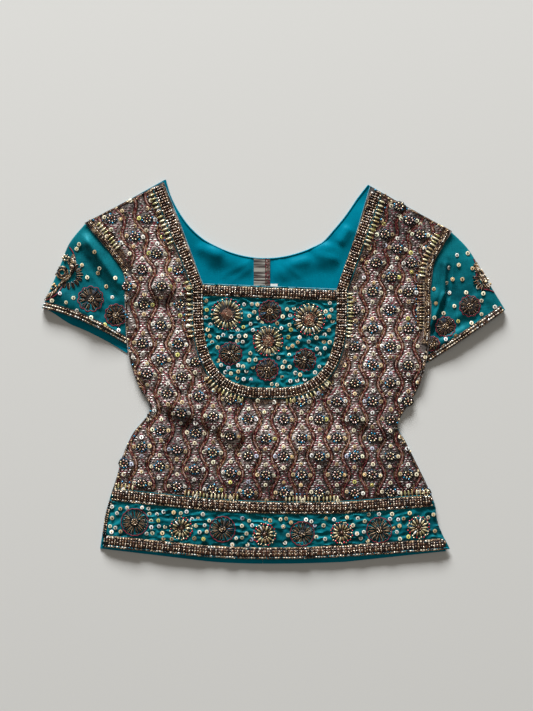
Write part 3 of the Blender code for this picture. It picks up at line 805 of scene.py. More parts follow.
for side in SIDES:
    def on_table(share, up):
        x, y = back_point(side, share, up * BACK_TOP)
        swell = max(-0.25, fold_height(SWELLS, x, y) + 0.15 * ripple(x, y, 30, 40, 4.0))
        return (x, y, 1.25 + swell * smooth((x + 4) / 6 if x > -13 else (-22 - x) / 6))

    bm = lay_grid(
        56, BACK_TOP * 10, on_table,
        skip=lambda share, up: share > 0.5 and up * BACK_TOP > BACK_NECK_ROW,
    )
    cloth_tree["back_" + side] = BVHTree.FromBMesh(bm)
    outer_faces, outer_points = list(bm.faces), list(bm.verts)
    bmesh.ops.extrude_face_region(bm, geom=bm.faces[:])
    for v in outer_points:
        v.co.z = 0.0
    for face in outer_faces:
        face.material_index = 1
    face_outwards(bm)
    finish_piece(bm, "cloth_back_" + side, [satin, brocade], "teal_lining", ["back_" + side])

# %% [markdown]
# A sleeve is one cloth folded over along its top edge: a lower layer on the table, a narrow
# round fold, and an upper layer that comes back to the underarm. Only the outer skin is laid
# here. The second skin follows inside it, so the lining shows at the cuff.

# %% The sleeves
SLEEVE_FOLDS = {
    "left": [
        Fold((-216, 158), (-172, 98), 4.5, 3.6),
        Fold((-208, 152), (-170, 92), 15, 3.6),
        Fold((-216, 136), (-178, 84), 5, -2.2),
        Fold((-250, 92), (-204, 64), 9, 3.4),
        Fold((-204, 58), (-172, 42), 4, 2.4),
        Fold((-212, 72), (-168, 58), 4, -1.2),
        Fold((-232, 130), (-222, 112), 5, 1.6),
    ],
    "right": [
        Fold((192, 120), (190, 86), 2.4, 2.6),
        Fold((190, 86), (176, 52), 2.4, 2.6),
        Fold((184, 126), (182, 84), 8, 2.8),
        Fold((182, 84), (176, 64), 7, 2.2),
        Fold((196.5, 116), (194.5, 84), 2.2, -3.0),
        Fold((194.5, 84), (177, 42), 2.2, -3.0),
        Fold((206, 112), (202, 80), 6, -1.2),
        Fold((222, 128), (244, 84), 9, 3.4),
        Fold((224, 60), (186, 42), 4, -1.2),
        Fold((212, 46), (180, 28), 4, 2.0),
        Fold((226, 84), (206, 62), 4, 1.6),
    ],
}
# Cells across each layer, round the fold, and from the shoulder to the cuff
AROUND, BEND, ALONG = 60, 6, 60


def sleeve_point(side, column, row):
    """A point of the outer skin; the columns go from the underarm round the fold and back."""
    rings = SLEEVES[side]
    place = row / ALONG * (len(rings) - 1)
    fold = along([ring.fold for ring in rings], place)
    middle = along([ring.middle for ring in rings], place)
    underarm = along([ring.underarm for ring in rings], place)
    radius = along([(ring.radius,) for ring in rings], place)[0]
    turn = column - AROUND
    bend = radius / (math.dist(fold, middle) + math.dist(middle, underarm))
    if 0 <= turn <= BEND:
        angle = math.pi * turn / BEND
        x, y = bow(fold, middle, underarm, bend * (1 - math.sin(angle)))
        return (x, y, radius * (1 - math.cos(angle)))
    share = bend + (1 - bend) * (turn - BEND if turn > 0 else -turn) / AROUND
    x, y = bow(fold, middle, underarm, share)
    if turn < 0:
        return (x, y - CUFF_SLIP[side] * (row / ALONG) ** 2 * smooth(share / 0.4), 0.0)
    top = 2 * radius + (UNDERARM_TOP - 2 * radius) * smooth((share - 0.6) / 0.4)
    room = smooth(row / ALONG / 0.16 - 0.2) * smooth((1 - share) / 0.2) * smooth(share / 0.12)
    waves = fold_height(SLEEVE_FOLDS[side], x, y) + 0.5 * ripple(x, y, 9, 7, 6.0)
    return (x, y, max(top + room * waves, min(top, LOWEST_TOP)))


for side in SIDES:
    columns = 2 * AROUND + BEND
    bm = lay_grid(
        columns, ALONG,
        lambda share, up: sleeve_point(side, round(share * columns), round(up * ALONG)),
    )
    bmesh.ops.recalc_face_normals(bm, faces=bm.faces)
    if max(bm.faces, key=lambda face: face.calc_center_median().z).normal.z < 0:
        bmesh.ops.reverse_faces(bm, faces=bm.faces)
    cloth_tree[side] = BVHTree.FromBMesh(bm)
    thicken(bm, 0.8)
    finish_piece(bm, "cloth_sleeve_" + side, [silk, satin], "teal_silk", ["sleeve_" + side])

# %% [markdown]
# The cut of each cloth, its flat size, is printed with its area, so that a later user knows
# how much cloth there is. A sleeve's cut is its whole flat width, both layers.



def piece_area(name):
    """The area of one skin of a cloth piece, in square metres."""
    mesh = bpy.data.objects[name].data
    return sum(face.area for face in mesh.polygons) / 2


def declare(name, held):
    """Prints the cut that a piece was laid from, and its area."""
    size = []
    for k in range(2):
        spread = [v.co[k] for v in bpy.data.objects[name].data.vertices]
        size.append(round(max(spread) - min(spread), 3))
    if held == "folded":
        size[0] = round(2 * size[0], 3)
    area = min(piece_area(name), size[0] * size[1])
    print(name, "cut", size, "m, area", round(area, 4), "m2")


for part in ("body", "yoke", "border"):
    declare("cloth_front_" + part, "laid")
for side in SIDES:
    declare("cloth_back_" + side, "laid")
for side in SIDES:
    declare("cloth_sleeve_" + side, "folded")

# %% [markdown]
# Beads are sewn on by the thousand and sequins by the hundred. Each kind is shaped once,
# with a few dozen faces, and then copied by arrays into one joined mesh. A copy needs a
# place, the three directions it is turned to, and a tint. Geometry Nodes could scatter them
# too, but arrays keep the exact places that the embroidery has.

# %% Many copies of a small shape in one mesh


class Shape:
    """A small mesh as plain arrays, read from a bmesh in millimetres."""

    def __init__(self, bm):
        bm.verts.index_update()
        self.points = np.array([v.co[:] for v in bm.verts])
        self.corners = np.array([v.index for face in bm.faces for v in face.verts])
        self.totals = np.array([len(face.verts) for face in bm.faces])
        bm.free()


def ball(segments, rings):
    """A bead of radius 1."""
    bm = bmesh.new()
    bmesh.ops.create_uvsphere(bm, u_segments=segments, v_segments=rings, radius=1.0)
    return Shape(bm)


def spindle(sides, rings):
    """A shape of length 2 along X with pointed ends: a stitch, or a fat oval bead."""
    bm = bmesh.new()
    bmesh.ops.create_uvsphere(
        bm, u_segments=sides, v_segments=rings, radius=1.0,
        matrix=Matrix.Rotation(math.pi / 2, 4, "Y"),
    )
    return Shape(bm)


def sequin(segments=12):
    """A cupped disc of radius 1 with a hole, and a rim that stands up a little."""
    bm = bmesh.new()
    profile = [(0.3, 0.0), (1.0, 0.16), (0.96, 0.26), (0.6, 0.07), (0.34, 0.12)]
    points = [bm.verts.new((r, 0, z)) for r, z in profile]
    loop = [bm.edges.new(pair) for pair in zip(points, points[1:] + points[:1])]
    bmesh.ops.spin(
        bm, geom=loop, angle=2 * math.pi, steps=segments, axis=(0, 0, 1), use_merge=True
    )
    bmesh.ops.recalc_face_normals(bm, faces=bm.faces)
    return Shape(bm)


BALL, SEED, SEQUIN = ball(8, 5), ball(6, 4), sequin()
STITCH, OVAL = spindle(4, 2), spindle(6, 6)
print("faces each:", [len(s.totals) for s in (BALL, SEED, SEQUIN, STITCH, OVAL)])


class Sewn:
    """Collects copies of shapes, then makes them one piece."""

    def __init__(self, thread_painted_light=None):
        self.parts = []
        self.thread_painted_light = thread_painted_light

    def add(self, shape, spot, x_way, z_way, size, tint):
        """One copy at a spot, turned so that its X and Z point those ways."""
        # The tint is made lighter or darker by a map of painted light and shade
        if self.thread_painted_light:
            share = self.thread_painted_light(spot[0], spot[1])
            tint = [min(1.0, c * share) for c in tint[:3]]
        z = Vector(z_way).normalized()
        x = Vector(x_way)
        x = (x - z * x.dot(z)).normalized()
        y = z.cross(x)
        turn = np.array([x * size[0], y * size[1], z * size[2]])
        self.parts.append((shape, np.array(spot), turn, tint))

    def finish(self, name, material, slot, stands_for=(), smooth_faces=True):
        """Joins the copies with arrays, one block for each kind of shape."""
        points, corners, totals, tints = [], [], [], []
        offset = 0
        for shape in {id(p[0]): p[0] for p in self.parts}.values():
            mine = [p for p in self.parts if p[0] is shape]
            spots = np.array([p[1] for p in mine])
            turns = np.array([p[2] for p in mine])
            count = len(shape.points)
            placed = np.einsum("nj,kji->kni", shape.points, turns) + spots[:, None, :]
            points.append(placed.reshape(-1, 3))
            shift = offset + count * np.arange(len(mine))
            corners.append((shape.corners[None, :] + shift[:, None]).ravel())
            totals.append(np.tile(shape.totals, len(mine)))
            tints.append(np.repeat(np.array([p[3][:3] for p in mine]), count, axis=0))
            offset += count * len(mine)
        points, corners = np.concatenate(points) * MM, np.concatenate(corners)
        totals, tints = np.concatenate(totals), np.concatenate(tints)
        mesh = bpy.data.meshes.new(name)
        mesh.vertices.add(len(points))
        mesh.vertices.foreach_set("co", points.ravel())
        mesh.loops.add(len(corners))
        mesh.loops.foreach_set("vertex_index", corners)
        mesh.polygons.add(len(totals))
        mesh.polygons.foreach_set("loop_start", np.concatenate([[0], np.cumsum(totals)[:-1]]))
        mesh.polygons.foreach_set("use_smooth", np.full(len(totals), smooth_faces))
        mesh.update(calc_edges=True)
        mesh.validate()
        colour = mesh.attributes.new("tint", "FLOAT_COLOR", "POINT")
        colour.data.foreach_set("color", np.hstack([tints, np.ones((len(tints), 1))]).ravel())
        mesh.materials.append(material)
        return join_top(bpy.data.objects.new(name, mesh), slot, stands_for)


# %% [markdown]
# A twisted metal thread is not a smooth pipe: it glints in short slanting dashes. So a rope
# is sewn from stitches too, each turned a little across the line it follows.

# %% Rope from slanting stitches


def lay_rope(sewn, run, thick, colours, pitch=1.5, slant=0.35):
    """Stitches along a line of points, each a little across it."""
    reach = 0.0
    for a, b in zip(run, run[1:]):
        way = b - a
        length = way.length
        if length == 0:
            continue
        side = Vector((-way.y, way.x, 0)) / length
        while reach < length:
            sewn.add(STITCH, a + way * (reach / length), way / length + side * slant,
                     (0, 0, 1), (pitch * 0.9, thick, thick), pick(*colours))
            reach += pitch
        reach -= length


# %% [markdown]
# A palette in a maker's words. Real beads vary from one to the next, so a tint is picked from
# a short list with a weight for each colour, and then made a little lighter or darker.

# %% The palette
CREAM, GOLD, WHITE = linear(226, 206, 168), linear(196, 158, 96), linear(238, 232, 222)
BRONZE, BROWN, DARK_BROWN = linear(150, 122, 90), linear(92, 62, 46), linear(36, 22, 18)
TAN, COPPER, PEARL = linear(186, 160, 130), linear(150, 84, 60), linear(240, 222, 200)
BLACK, MAROON = linear(14, 12, 16), linear(112, 24, 38)
SILVER, LILAC, RED = linear(232, 230, 224), linear(190, 164, 160), linear(184, 20, 36)
CYAN, NIGHT, PINK = linear(0, 128, 168), linear(6, 62, 92), linear(240, 204, 194)
INK = linear(10, 8, 10)


def pick(*weighted):
    """A colour from (weight, colour) pairs, a little lighter or darker each time."""
    total = sum(weight for weight, _ in weighted)
    at = rng.random() * total
    for weight, colour in weighted:
        at -= weight
        if at <= 0:
            break
    gain = 0.8 + 0.4 * rng.random()
    return tuple(min(1.0, c * gain) for c in colour[:3])


SEQUIN_RADIUS = 2.25
SEQUIN_MIX = (
    (5, linear(248, 236, 204)), (2, linear(232, 206, 160)), (3.4, linear(254, 250, 238)),
    (1.4, linear(196, 170, 130)), (0.3, linear(214, 218, 240)), (0.6, linear(226, 222, 128)),
)


def sew_sequin(sewn, beads, tree, x, y):
    """A sequin held down by a seed bead in its hole."""
    spot, facing = seat(tree, x, y)
    if spot is None:
        return
    tilt = Vector((rng.normal(0, 0.1), rng.normal(0, 0.1), 0))
    facing = (facing * 0.6 + Vector((0, 0, 0.4)) + tilt).normalized()
    radius = SEQUIN_RADIUS * (0.92 + 0.16 * rng.random())
    sewn.add(SEQUIN, spot + facing * 0.35, (1, 0.2, 0), facing, (radius,) * 3, pick(*SEQUIN_MIX))
    bead = pick((4, BROWN), (5, DARK_BROWN), (1.5, GOLD))
    beads.add(SEED, spot + facing * 0.8, (1, 0, 0), facing, (0.9, 0.9, 0.55), bead)


print("sequin colours:", len(SEQUIN_MIX))

# %% [markdown]
# Bands of beads cover the seams, and the pattern stops short of them. Each band is a path
# along the front. A searchable copy of each path tells how far any place is from it.

# %% The paths of the bands
NECK_HALF, HEM_HALF, NARROW_HALF = 5.6, 6.2, 3.0
# The row of the front that each armhole's band starts from
ARM_ROW = {"left": 11.2, "right": 8.6}


def neck_path(share):
    """Down the left strap, round the yoke, and up the right strap."""
    top_left, top_right = (-129, 206), (115, 201)
    cx, cy = YOKE_CENTRE
    left, right = (cx - YOKE_HALF_WIDTH, cy + 14), (cx + YOKE_HALF_WIDTH, cy + 12)
    if share < 0.2:
        return mix(top_left, left, share / 0.2)
    if share > 0.8:
        return mix(right, top_right, (share - 0.8) / 0.2)
    if share < 0.23:
        return mix(left, (left[0], cy), (share - 0.2) / 0.03)
    if share > 0.77:
        return mix((right[0], cy), right, (share - 0.77) / 0.03)
    return yoke_edge((share - 0.23) / 0.54, 0.0)


def bar_path(share):
    """Along the top edge of the yoke."""
    inset = YOKE_HALF_WIDTH - NECK_HALF - 0.4
    _, left, _, right, _ = front_row(NECK_ROW)
    x = YOKE_CENTRE[0] - inset + 2 * inset * share
    return (x, mix(left, right, share)[1] - 7.2)


def hem_path(row, margin=0.006):
    """Across the front at a row."""
    return lambda share: front_point(margin + (1 - 2 * margin) * share, row)


def beside(spot, run, offset):
    """A place at an offset to the left of a path that runs this way."""
    return (spot[0] - run.y * offset, spot[1] + run.x * offset)


def armhole_path(side):
    """Up the armhole's edge of the front, 4.2 mm inside it, to the shoulder."""
    lowest = ARM_ROW[side]

    def path(share):
        row = front_row(lowest + (len(FRONT_ROWS) - 1.04 - lowest) * share)
        edge, toward = (row[0], row[1]) if side == "left" else (row[4], row[3])
        return mix(edge, toward, 4.2 / math.dist(edge, toward))

    return path


def cuff_path(side):
    """Along the cuff's upper edge, 3.4 mm inside it, from the fold to the underarm."""
    ring = SLEEVES[side][-1]
    sign = 1 if side == "left" else -1

    def path(share):
        share = 0.03 + 0.95 * share
        x, y = bow(ring.fold, ring.middle, ring.underarm, share)
        ahead = bow(ring.fold, ring.middle, ring.underarm, share + 0.01)
        run = Vector((ahead[0] - x, ahead[1] - y)).normalized() * sign
        return beside((x, y), run, 3.4)

    return path


def even_path(path, step):
    """Points along a path at an even distance, each with the way the path runs there."""
    fine = [Vector(path(k / 800)) for k in range(801)]
    reach = np.concatenate([[0], np.cumsum([(b - a).length for a, b in zip(fine, fine[1:])])])
    count = max(2, round(reach[-1] / step))
    at = np.interp(np.linspace(0, reach[-1], count + 1), reach, np.linspace(0, 1, 801))
    made = []
    for share in at:
        before, after = Vector(path(max(share - 0.003, 0))), Vector(path(min(share + 0.003, 1)))
        made.append((Vector(path(share)), (after - before).normalized()))
    return made


def near_tree(path):
    """A path that can be asked how far a place is from it."""
    points = even_path(path, 1.0)
    tree = kdtree.KDTree(len(points))
    for k, (spot, _) in enumerate(points):
        tree.insert((spot.x, spot.y, 0), k)
    tree.balance()
    return tree


neck_near = near_tree(neck_path)
hem_near = near_tree(hem_path(BORDER_ROW, 0.0))
arm_near = {side: near_tree(armhole_path(side)) for side in SIDES}


def from_path(tree, x, y):
    """How far a place is from a path."""
    return tree.find((x, y, 0))[2]


def for_pattern(x, y, edge, margin):
    """Whether a place is on the body, clear of its edges and by a margin of the bands."""
    for dx, dy in ((0, 0), (edge, 0), (-edge, 0), (0, edge), (0, -edge)):
        if seat(cloth_tree["body"], x + dx, y + dy)[0] is None:
            return False
    clear = from_path(neck_near, x, y) > NECK_HALF + margin
    clear = clear and from_path(hem_near, x, y) > HEM_HALF + margin - 2
    side = "left" if x < 0 else "right"
    return clear and from_path(arm_near[side], x, y) > NARROW_HALF + margin - 1


neck_run = [spot for spot, _ in even_path(neck_path, 5)]
neck_long = sum((b - a).length for a, b in zip(neck_run, neck_run[1:]))
print("neck band is", round(neck_long), "mm long")

# %% [markdown]
# Five cords are couched side by side along each swinging line of the net: a bronze rope at
# each edge, a pale one in the middle and a thin crimson thread in each gap. The threads are
# fine and smooth, so a curve with a bevel draws them, and becomes a plain mesh at the end.

# %% Cords along the net
LINES, LINE_STEPS = range(-12, 12), 18


def tubes(name, runs, radius, material, slot, tint=None, resolution=1):
    """Round cords through lists of points in millimetres, as one mesh."""
    curve = bpy.data.curves.new(name, "CURVE")
    curve.dimensions = "3D"
    curve.bevel_depth = radius * MM
    curve.bevel_resolution = resolution
    curve.use_fill_caps = True
    for run in runs:
        spline = curve.splines.new("POLY")
        spline.points.add(len(run) - 1)
        for point, spot in zip(spline.points, run):
            point.co = (spot[0] * MM, spot[1] * MM, spot[2] * MM, 1)
    holder = bpy.data.objects.new(name + "_line", curve)
    bpy.context.scene.collection.objects.link(holder)
    bpy.context.view_layer.update()
    evaluated = holder.evaluated_get(bpy.context.evaluated_depsgraph_get())
    mesh = bpy.data.meshes.new_from_object(evaluated)
    mesh.name = name
    bpy.data.objects.remove(holder)
    mesh.shade_smooth()
    if tint:
        colour = mesh.attributes.new("tint", "FLOAT_COLOR", "POINT")
        colour.data.foreach_set("color", np.tile((*tint[:3], 1.0), len(mesh.vertices)))
    mesh.materials.clear()
    mesh.materials.append(material)
    return join_top(bpy.data.objects.new(name, mesh), slot)


def net_line(column, sideways, lift):
    """The runs of one line of the net, to the right of a column, moved sideways."""
    runs, run = [], []
    for k in range(REPEATS[0] * LINE_STEPS, REPEATS[-1] * LINE_STEPS):
        repeat = k / LINE_STEPS
        before = Vector(pattern(line_column(column, repeat - 0.01), repeat - 0.01))
        after = Vector(pattern(line_column(column, repeat + 0.01), repeat + 0.01))
        way = (after - before).normalized()
        x, y = (before + after) / 2 + Vector((-way.y, way.x)) * sideways
        spot = seat(cloth_tree["body"], x, y)[0]
        if spot is not None and for_pattern(x, y, 0.8, 5.5):
            run.append(spot + Vector((0, 0, lift)))
        elif run:
            runs.append(run)
            run = []
    runs.append(run)
    return [run for run in runs if len(run) > 2]


OUTER_ROPE = ((4, linear(120, 92, 62)), (6, DARK_BROWN), (3, BROWN), (2, linear(184, 156, 116)))
MIDDLE_ROPE = ((6, linear(226, 204, 184)), (1, LILAC), (3, linear(140, 100, 76)), (2, DARK_BROWN))
# The ropes are lightened and darkened by the painted light and shade of the folds
ropes = Sewn(thread_painted_light)
for column in LINES:
    for sideways, thick, pitch, colours in (
        (-1.7, 0.8, 1.7, OUTER_ROPE), (0.0, 0.5, 1.6, MIDDLE_ROPE), (1.7, 0.8, 1.7, OUTER_ROPE),
    ):
        for run in net_line(column, sideways, 0.45):
            lay_rope(ropes, run, thick, colours, pitch)
ropes.finish("net_ropes", thread_finish, "brocade", smooth_faces=False)
runs = [run for k in LINES for sideways in (-0.85, 0.85) for run in net_line(k, sideways, 0.5)]
tubes("net_crimson", runs, 0.24, cotton_finish, "brocade", linear(128, 22, 44), resolution=0)

# %% [markdown]
# Between the cords the ground is filled with short level stitches, a row of silver and a row
# of maroon in turn, and small upright ones join the maroon rows to a meander. They leave
# room for the motifs. The same slow map of painted light and shade that darkens the ground
# lightens and darkens the stitches and says how much silver shows.

# %% Stitches between the cords


def free_spot(x, y):
    """A place of the field with the way it faces, or None beside a line, a band or a motif."""
    if not for_pattern(x, y, 1.5, 4.5):
        return None
    line, motif = net_places(x, y)
    return seat(cloth_tree["body"], x, y) if line > 3.1 and motif > 7.4 else None


FIELD_ROWS, FIELD_PITCH = range(-1, 136), 2.6
FIELD_LEFT, FIELD_RIGHT, FIELD_LOW = -212.0, 202, -140
FIELD_SILVER = linear(216, 208, 202)
FIELD_MAROON = ((6, linear(132, 26, 52)), (3, linear(94, 22, 36)), (3, DARK_BROWN), (1, BROWN))
silver, maroon = Sewn(), Sewn(thread_painted_light)
for row in FIELD_ROWS:
    x = FIELD_LEFT + 4 * rng.random()
    flip = 1
    while x < FIELD_RIGHT:
        length = 1.0 + 1.1 * rng.random()
        x += length
        y = FIELD_LOW + FIELD_PITCH * row + 0.8 * ripple(x, row * FIELD_PITCH, 9, 9, 1.0)
        found = free_spot(x, y)
        if found:
            spot, facing = found
            tint = pick(*FIELD_MAROON)
            way = (1, 0.5 * ripple(x, y, 6, 4, 9.0), 0)
            maroon.add(STITCH, spot + facing * 0.15, way, facing, (length + 0.2, 0.74, 0.5), tint)
            flip = -flip
            turn = free_spot(x + length * 0.8, y + flip * 0.9)
            if turn:
                upright = (0.3 * flip, 1, 0)
                maroon.add(STITCH, turn[0] + facing * 0.12, upright, facing, (1.3, 0.55, 0.5), tint)
        found = free_spot(x, y + FIELD_PITCH / 2)
        if found:
            spot, facing = found
            # The painted light and shade says how much silver shows here and how light it is
            bright = shine(x, y)
            tint = pick((6 * bright, FIELD_SILVER), (3, LILAC), (3.2 - 2.6 * bright, BROWN))
            tint = tuple(c * (0.22 + 0.72 * bright) for c in tint)
            size = (length + 0.5, 0.62, 0.5)
            silver.add(STITCH, spot + facing * 0.1, (1, 0.1, 0), facing, size, tint)
        x += length + 0.9
maroon.finish("stitches_maroon", cotton_finish, "brocade", smooth_faces=False)
silver.finish("stitches_silver", thread_finish, "brocade", smooth_faces=False)

# %% [markdown]
# Each motif is a dark pad with a ring of black and blue beads, a ring of small pale ones
# inside it and a copper one in the middle. Four sequins stand about it: one on each side,
# one above and one below.

# %% Motifs and sequins of the brocade
FLAT, UP = (1, 0, 0), (0, 0, 1)
brocade_beads, brocade_sequins, pads = Sewn(), Sewn(), Sewn()
sewn_motifs = 0
for column, repeat in motifs:
    x, y = pattern(column, repeat)
    if for_pattern(x, y, 0.8, 5.0):
        sewn_motifs += 1
        spot, facing = seat(cloth_tree["body"], x, y)
        pads.add(BALL, spot + facing * 0.1, FLAT, facing, (6.9, 6.1, 1.1), INK)
        turn = rng.random() * 2 * math.pi
        for k in range(12):
            angle = turn + 2 * math.pi * k / 12
            way = Vector((math.cos(angle), math.sin(angle), 0))
            out = 5.9 + rng.normal(0, 0.3)
            place = seat(cloth_tree["body"], x + out * way.x, y + 0.86 * out * way.y)[0]
            if place is not None:
                tint = pick((6, BLACK), (2.2, NIGHT), (1.1, CYAN), (0.8, DARK_BROWN))
                size = (1.25, 1.15, 0.95)
                brocade_beads.add(SEED, place + facing * 0.6, way, facing, size, tint)
        for k in range(8):
            angle = turn + 2 * math.pi * (k + 0.3 * rng.random()) / 7
            out = 0.0 if k == 7 else 3.9
            round_it = Vector((out * math.cos(angle), 0.88 * out * math.sin(angle), 0))
            tint = pick((4, CREAM), (1, BRONZE), (3, PINK)) if out else COPPER
            place = spot + facing * 1.1 + round_it
            brocade_beads.add(SEED, place, FLAT, facing, (1.05, 1.05, 0.95), tint)
    for dx, dy in ((-9.0, 0.4), (9.0, -0.4), (0.3, 11.6), (-0.3, -11.6)):
        sx, sy = x + dx + rng.normal(0, 0.5), y + dy + rng.normal(0, 0.6)
        if for_pattern(sx, sy, 1.4, 2.5):
            sew_sequin(brocade_sequins, brocade_beads, cloth_tree["body"], sx, sy)
print("motifs sewn:", sewn_motifs)
pads.finish("pads_brocade", cotton_finish, "dark_beads")
brocade_beads.finish("beads_brocade", bead_finish, "dark_beads")
brocade_sequins.finish("sequins_brocade", sequin_finish, "gold_beads")

# %% [markdown]
# A bead band is a ribbon on a narrow strip of cloth. Two ropes edge it, two rows of seed
# beads run inside them, and between those lie pairs of oval brown beads, set like rungs, with
# a pale stitch over every second pair and small seeds down the middle. The same few lines
# sew every wide band.

# %% Wide bead bands


def front_height(x, y):
    """The highest of the three front cloths at a place."""
    spots = [seat(cloth_tree[part], x, y)[0] for part in ("body", "yoke", "border")]
    found = [spot.z for spot in spots if spot is not None]
    return max(found) if found else height(front_solid, x, y)


def ribbon(name, path, half_width):
    """The strip of cloth under a bead band, evened out along its length."""
    points = even_path(path, 2.2)
    levels = []
    for spot, run in points:
        side = Vector((-run.y, run.x))
        places = [spot + side * half_width * share for share in (-0.8, -0.3, 0.3, 0.8)]
        levels.append(sum(front_height(*place) for place in places) / 4)
    levels = np.convolve(np.pad(levels, 2, mode="edge"), np.ones(5) / 5, mode="valid")
    lifts = (0.05, 0.75, 0.95, 0.75, 0.05)

    def place(share, across):
        k = round(share * (len(points) - 1))
        x, y = beside(*points[k], half_width * (2 * across - 1))
        lift = lifts[round(across * 4)]
        z = max(levels[k], front_height(x, y)) if lift > 0.1 else front_height(x, y)
        return (x, y, z + lift)

    bm = lay_grid(len(points) - 1, 4, place)
    bm.normal_update()
    if sum(face.normal.z for face in bm.faces) < 0:
        bmesh.ops.reverse_faces(bm, faces=bm.faces)
    tree = BVHTree.FromBMesh(bm)
    thicken(bm, 0.5)
    finish_piece(bm, name + "_cloth", [band_cloth, band_cloth], "bead_band", [name])
    return tree


band_cloth = new_finish("band_cloth", linear(40, 28, 24), 0.7)[0]


def sew_row(sewn, tree, path, offset, step, shape, size, colours, lift, across=False):
    """A row of beads along a path, at an offset to its left."""
    for spot, run in even_path(path, step):
        place, facing = seat(tree, *beside(spot, run, offset))
        if place is None:
            continue
        way = (-run.y, run.x, 0) if across else (run.x, run.y, 0)
        wobble = Vector((rng.normal(0, 0.06), rng.normal(0, 0.06), 0))
        sewn.add(shape, place + facing * lift, Vector(way) + wobble, facing, size, pick(*colours))


def cord_run(tree, path, offset, lift, step=2.0):
    """The points of a cord along a path."""
    run = []
    for spot, way in even_path(path, step):
        place = seat(tree, *beside(spot, way, offset))[0]
        if place is not None:
            run.append(place + Vector((0, 0, lift)))
    return run


SEED_MIX = ((2, SILVER), (4, PEARL), (3, TAN), (2, BRONZE), (3, BROWN), (4, DARK_BROWN))
RUNG_MIX = ((6, linear(82, 52, 37)), (3, linear(100, 68, 48)), (4, DARK_BROWN))
SEPARATOR_MIX = ((4, PEARL), (3, TAN), (1, BRONZE))
CENTRE_MIX = ((4, PEARL), (2, TAN), (3, BROWN))
ROPE_MIX = ((3, BRONZE), (3, TAN), (3, BROWN), (4, DARK_BROWN))
WIDE_BANDS = (
    ("neck_band", neck_path, NECK_HALF), ("yoke_bar", bar_path, NECK_HALF),
    ("hem_band_upper", hem_path(BORDER_ROW), HEM_HALF),
    ("hem_band_lower", hem_path(LOWER_BAND_ROW), HEM_HALF),
)
# Rungs, seeds and stitches keep the same pitch, so that they stay in step
RUNG_PITCH, RUNG_OFFSET = 3.0, 1.75
band_ropes = Sewn()
for name, path, half in WIDE_BANDS:
    tree = ribbon(name, path, half)
    sewn = Sewn()
    for hand in (-1, 1):
        lay_rope(band_ropes, cord_run(tree, path, hand * (half - 0.3), 0.35), 0.65, ROPE_MIX)
        sew_row(sewn, tree, path, hand * (half - 1.5), RUNG_PITCH, SEED, (1.35, 1.0, 0.95),
                SEED_MIX, 0.55)
        sew_row(sewn, tree, path, hand * RUNG_OFFSET, RUNG_PITCH, OVAL, (1.75, 1.35, 1.0),
                RUNG_MIX, 0.5, across=True)
        sew_row(sewn, tree, path, hand * RUNG_OFFSET, 2 * RUNG_PITCH, STITCH, (2.1, 0.4, 0.5),
                SEPARATOR_MIX, 1.3, across=True)
    sew_row(sewn, tree, path, 0.0, RUNG_PITCH, SEED, (0.95, 0.6, 0.7), CENTRE_MIX, 0.95)
    sewn.finish(name + "_beads", bead_finish, "bead_band")
edge_run = cord_run(cloth_tree["border"], hem_path(LOWER_BAND_ROW), -(HEM_HALF + 1.6), 0.3)
lay_rope(band_ropes, edge_run, 0.6, ROPE_MIX)
band_ropes.finish("band_ropes", thread_finish, "bead_band", smooth_faces=False)

# %% [markdown]
# The armholes have a narrow band: three ropes and one row of bright beads. The cuffs have
# two rows of beads between three ropes, straight on the silk. Two rows of beads close the
# left edge of the hem border. A brown rope with loose beads runs along the side seams and the
# shoulders.

# %% Narrow bead edgings
CUFF_MIX = ((5, DARK_BROWN), (3, BROWN), (1, BRONZE))
SIDE_MIX = ((4, BRONZE), (3, BROWN), (3, DARK_BROWN), (2, PEARL))
CUFF_BEADS = ((4, PEARL), (3, TAN), (2, SILVER), (3, BROWN))
EDGE_MIX = ((3, BROWN), (3, DARK_BROWN), (2, BRONZE), (1, CREAM))
narrow, narrow_ropes = Sewn(), Sewn()
for side in SIDES:
    path = armhole_path(side)
    tree = ribbon("armhole_band_" + side, path, NARROW_HALF)
    for offset in (-2.4, 0.9, 2.3):
        lay_rope(narrow_ropes, cord_run(tree, path, offset, 0.4, 1.6), 0.7, ROPE_MIX)
    sew_row(narrow, tree, path, -0.9, 1.9, SEED, (0.95, 0.85, 0.9), SEED_MIX, 0.55)
for side in SIDES:
    path = cuff_path(side)
    tree = cloth_tree[side]
    for offset, thick in ((-3.3, 0.7), (0.0, 0.9), (3.3, 0.7)):
        lay_rope(narrow_ropes, cord_run(tree, path, offset, 0.45, 1.6), thick, CUFF_MIX)
    for offset in (-1.8, 1.8):
        sew_row(narrow, tree, path, offset, 3.1, OVAL, (1.6, 1.0, 0.95), CUFF_BEADS, 0.6)


def border_side(share):
    """Down the left edge of the hem border."""
    return front_point(0.004, BORDER_ROW - 0.3 - (BORDER_ROW - 0.75) * share)


def seam_side(side, low, high):
    """Along the side seam of the front, just inside its edge."""
    across = 0.006 if side == "left" else 0.994
    return lambda share: front_point(across, low + (high - low) * share)


def shoulder_edge(side):
    """Along the shoulder of the front, where the cloth turns over."""
    if side == "left":
        low, high = 0.012, NECK_SHARES[0] - 0.02
    else:
        low, high = NECK_SHARES[1] + 0.02, 0.988
    return lambda share: front_point(low + (high - low) * share, len(FRONT_ROWS) - 1.06)


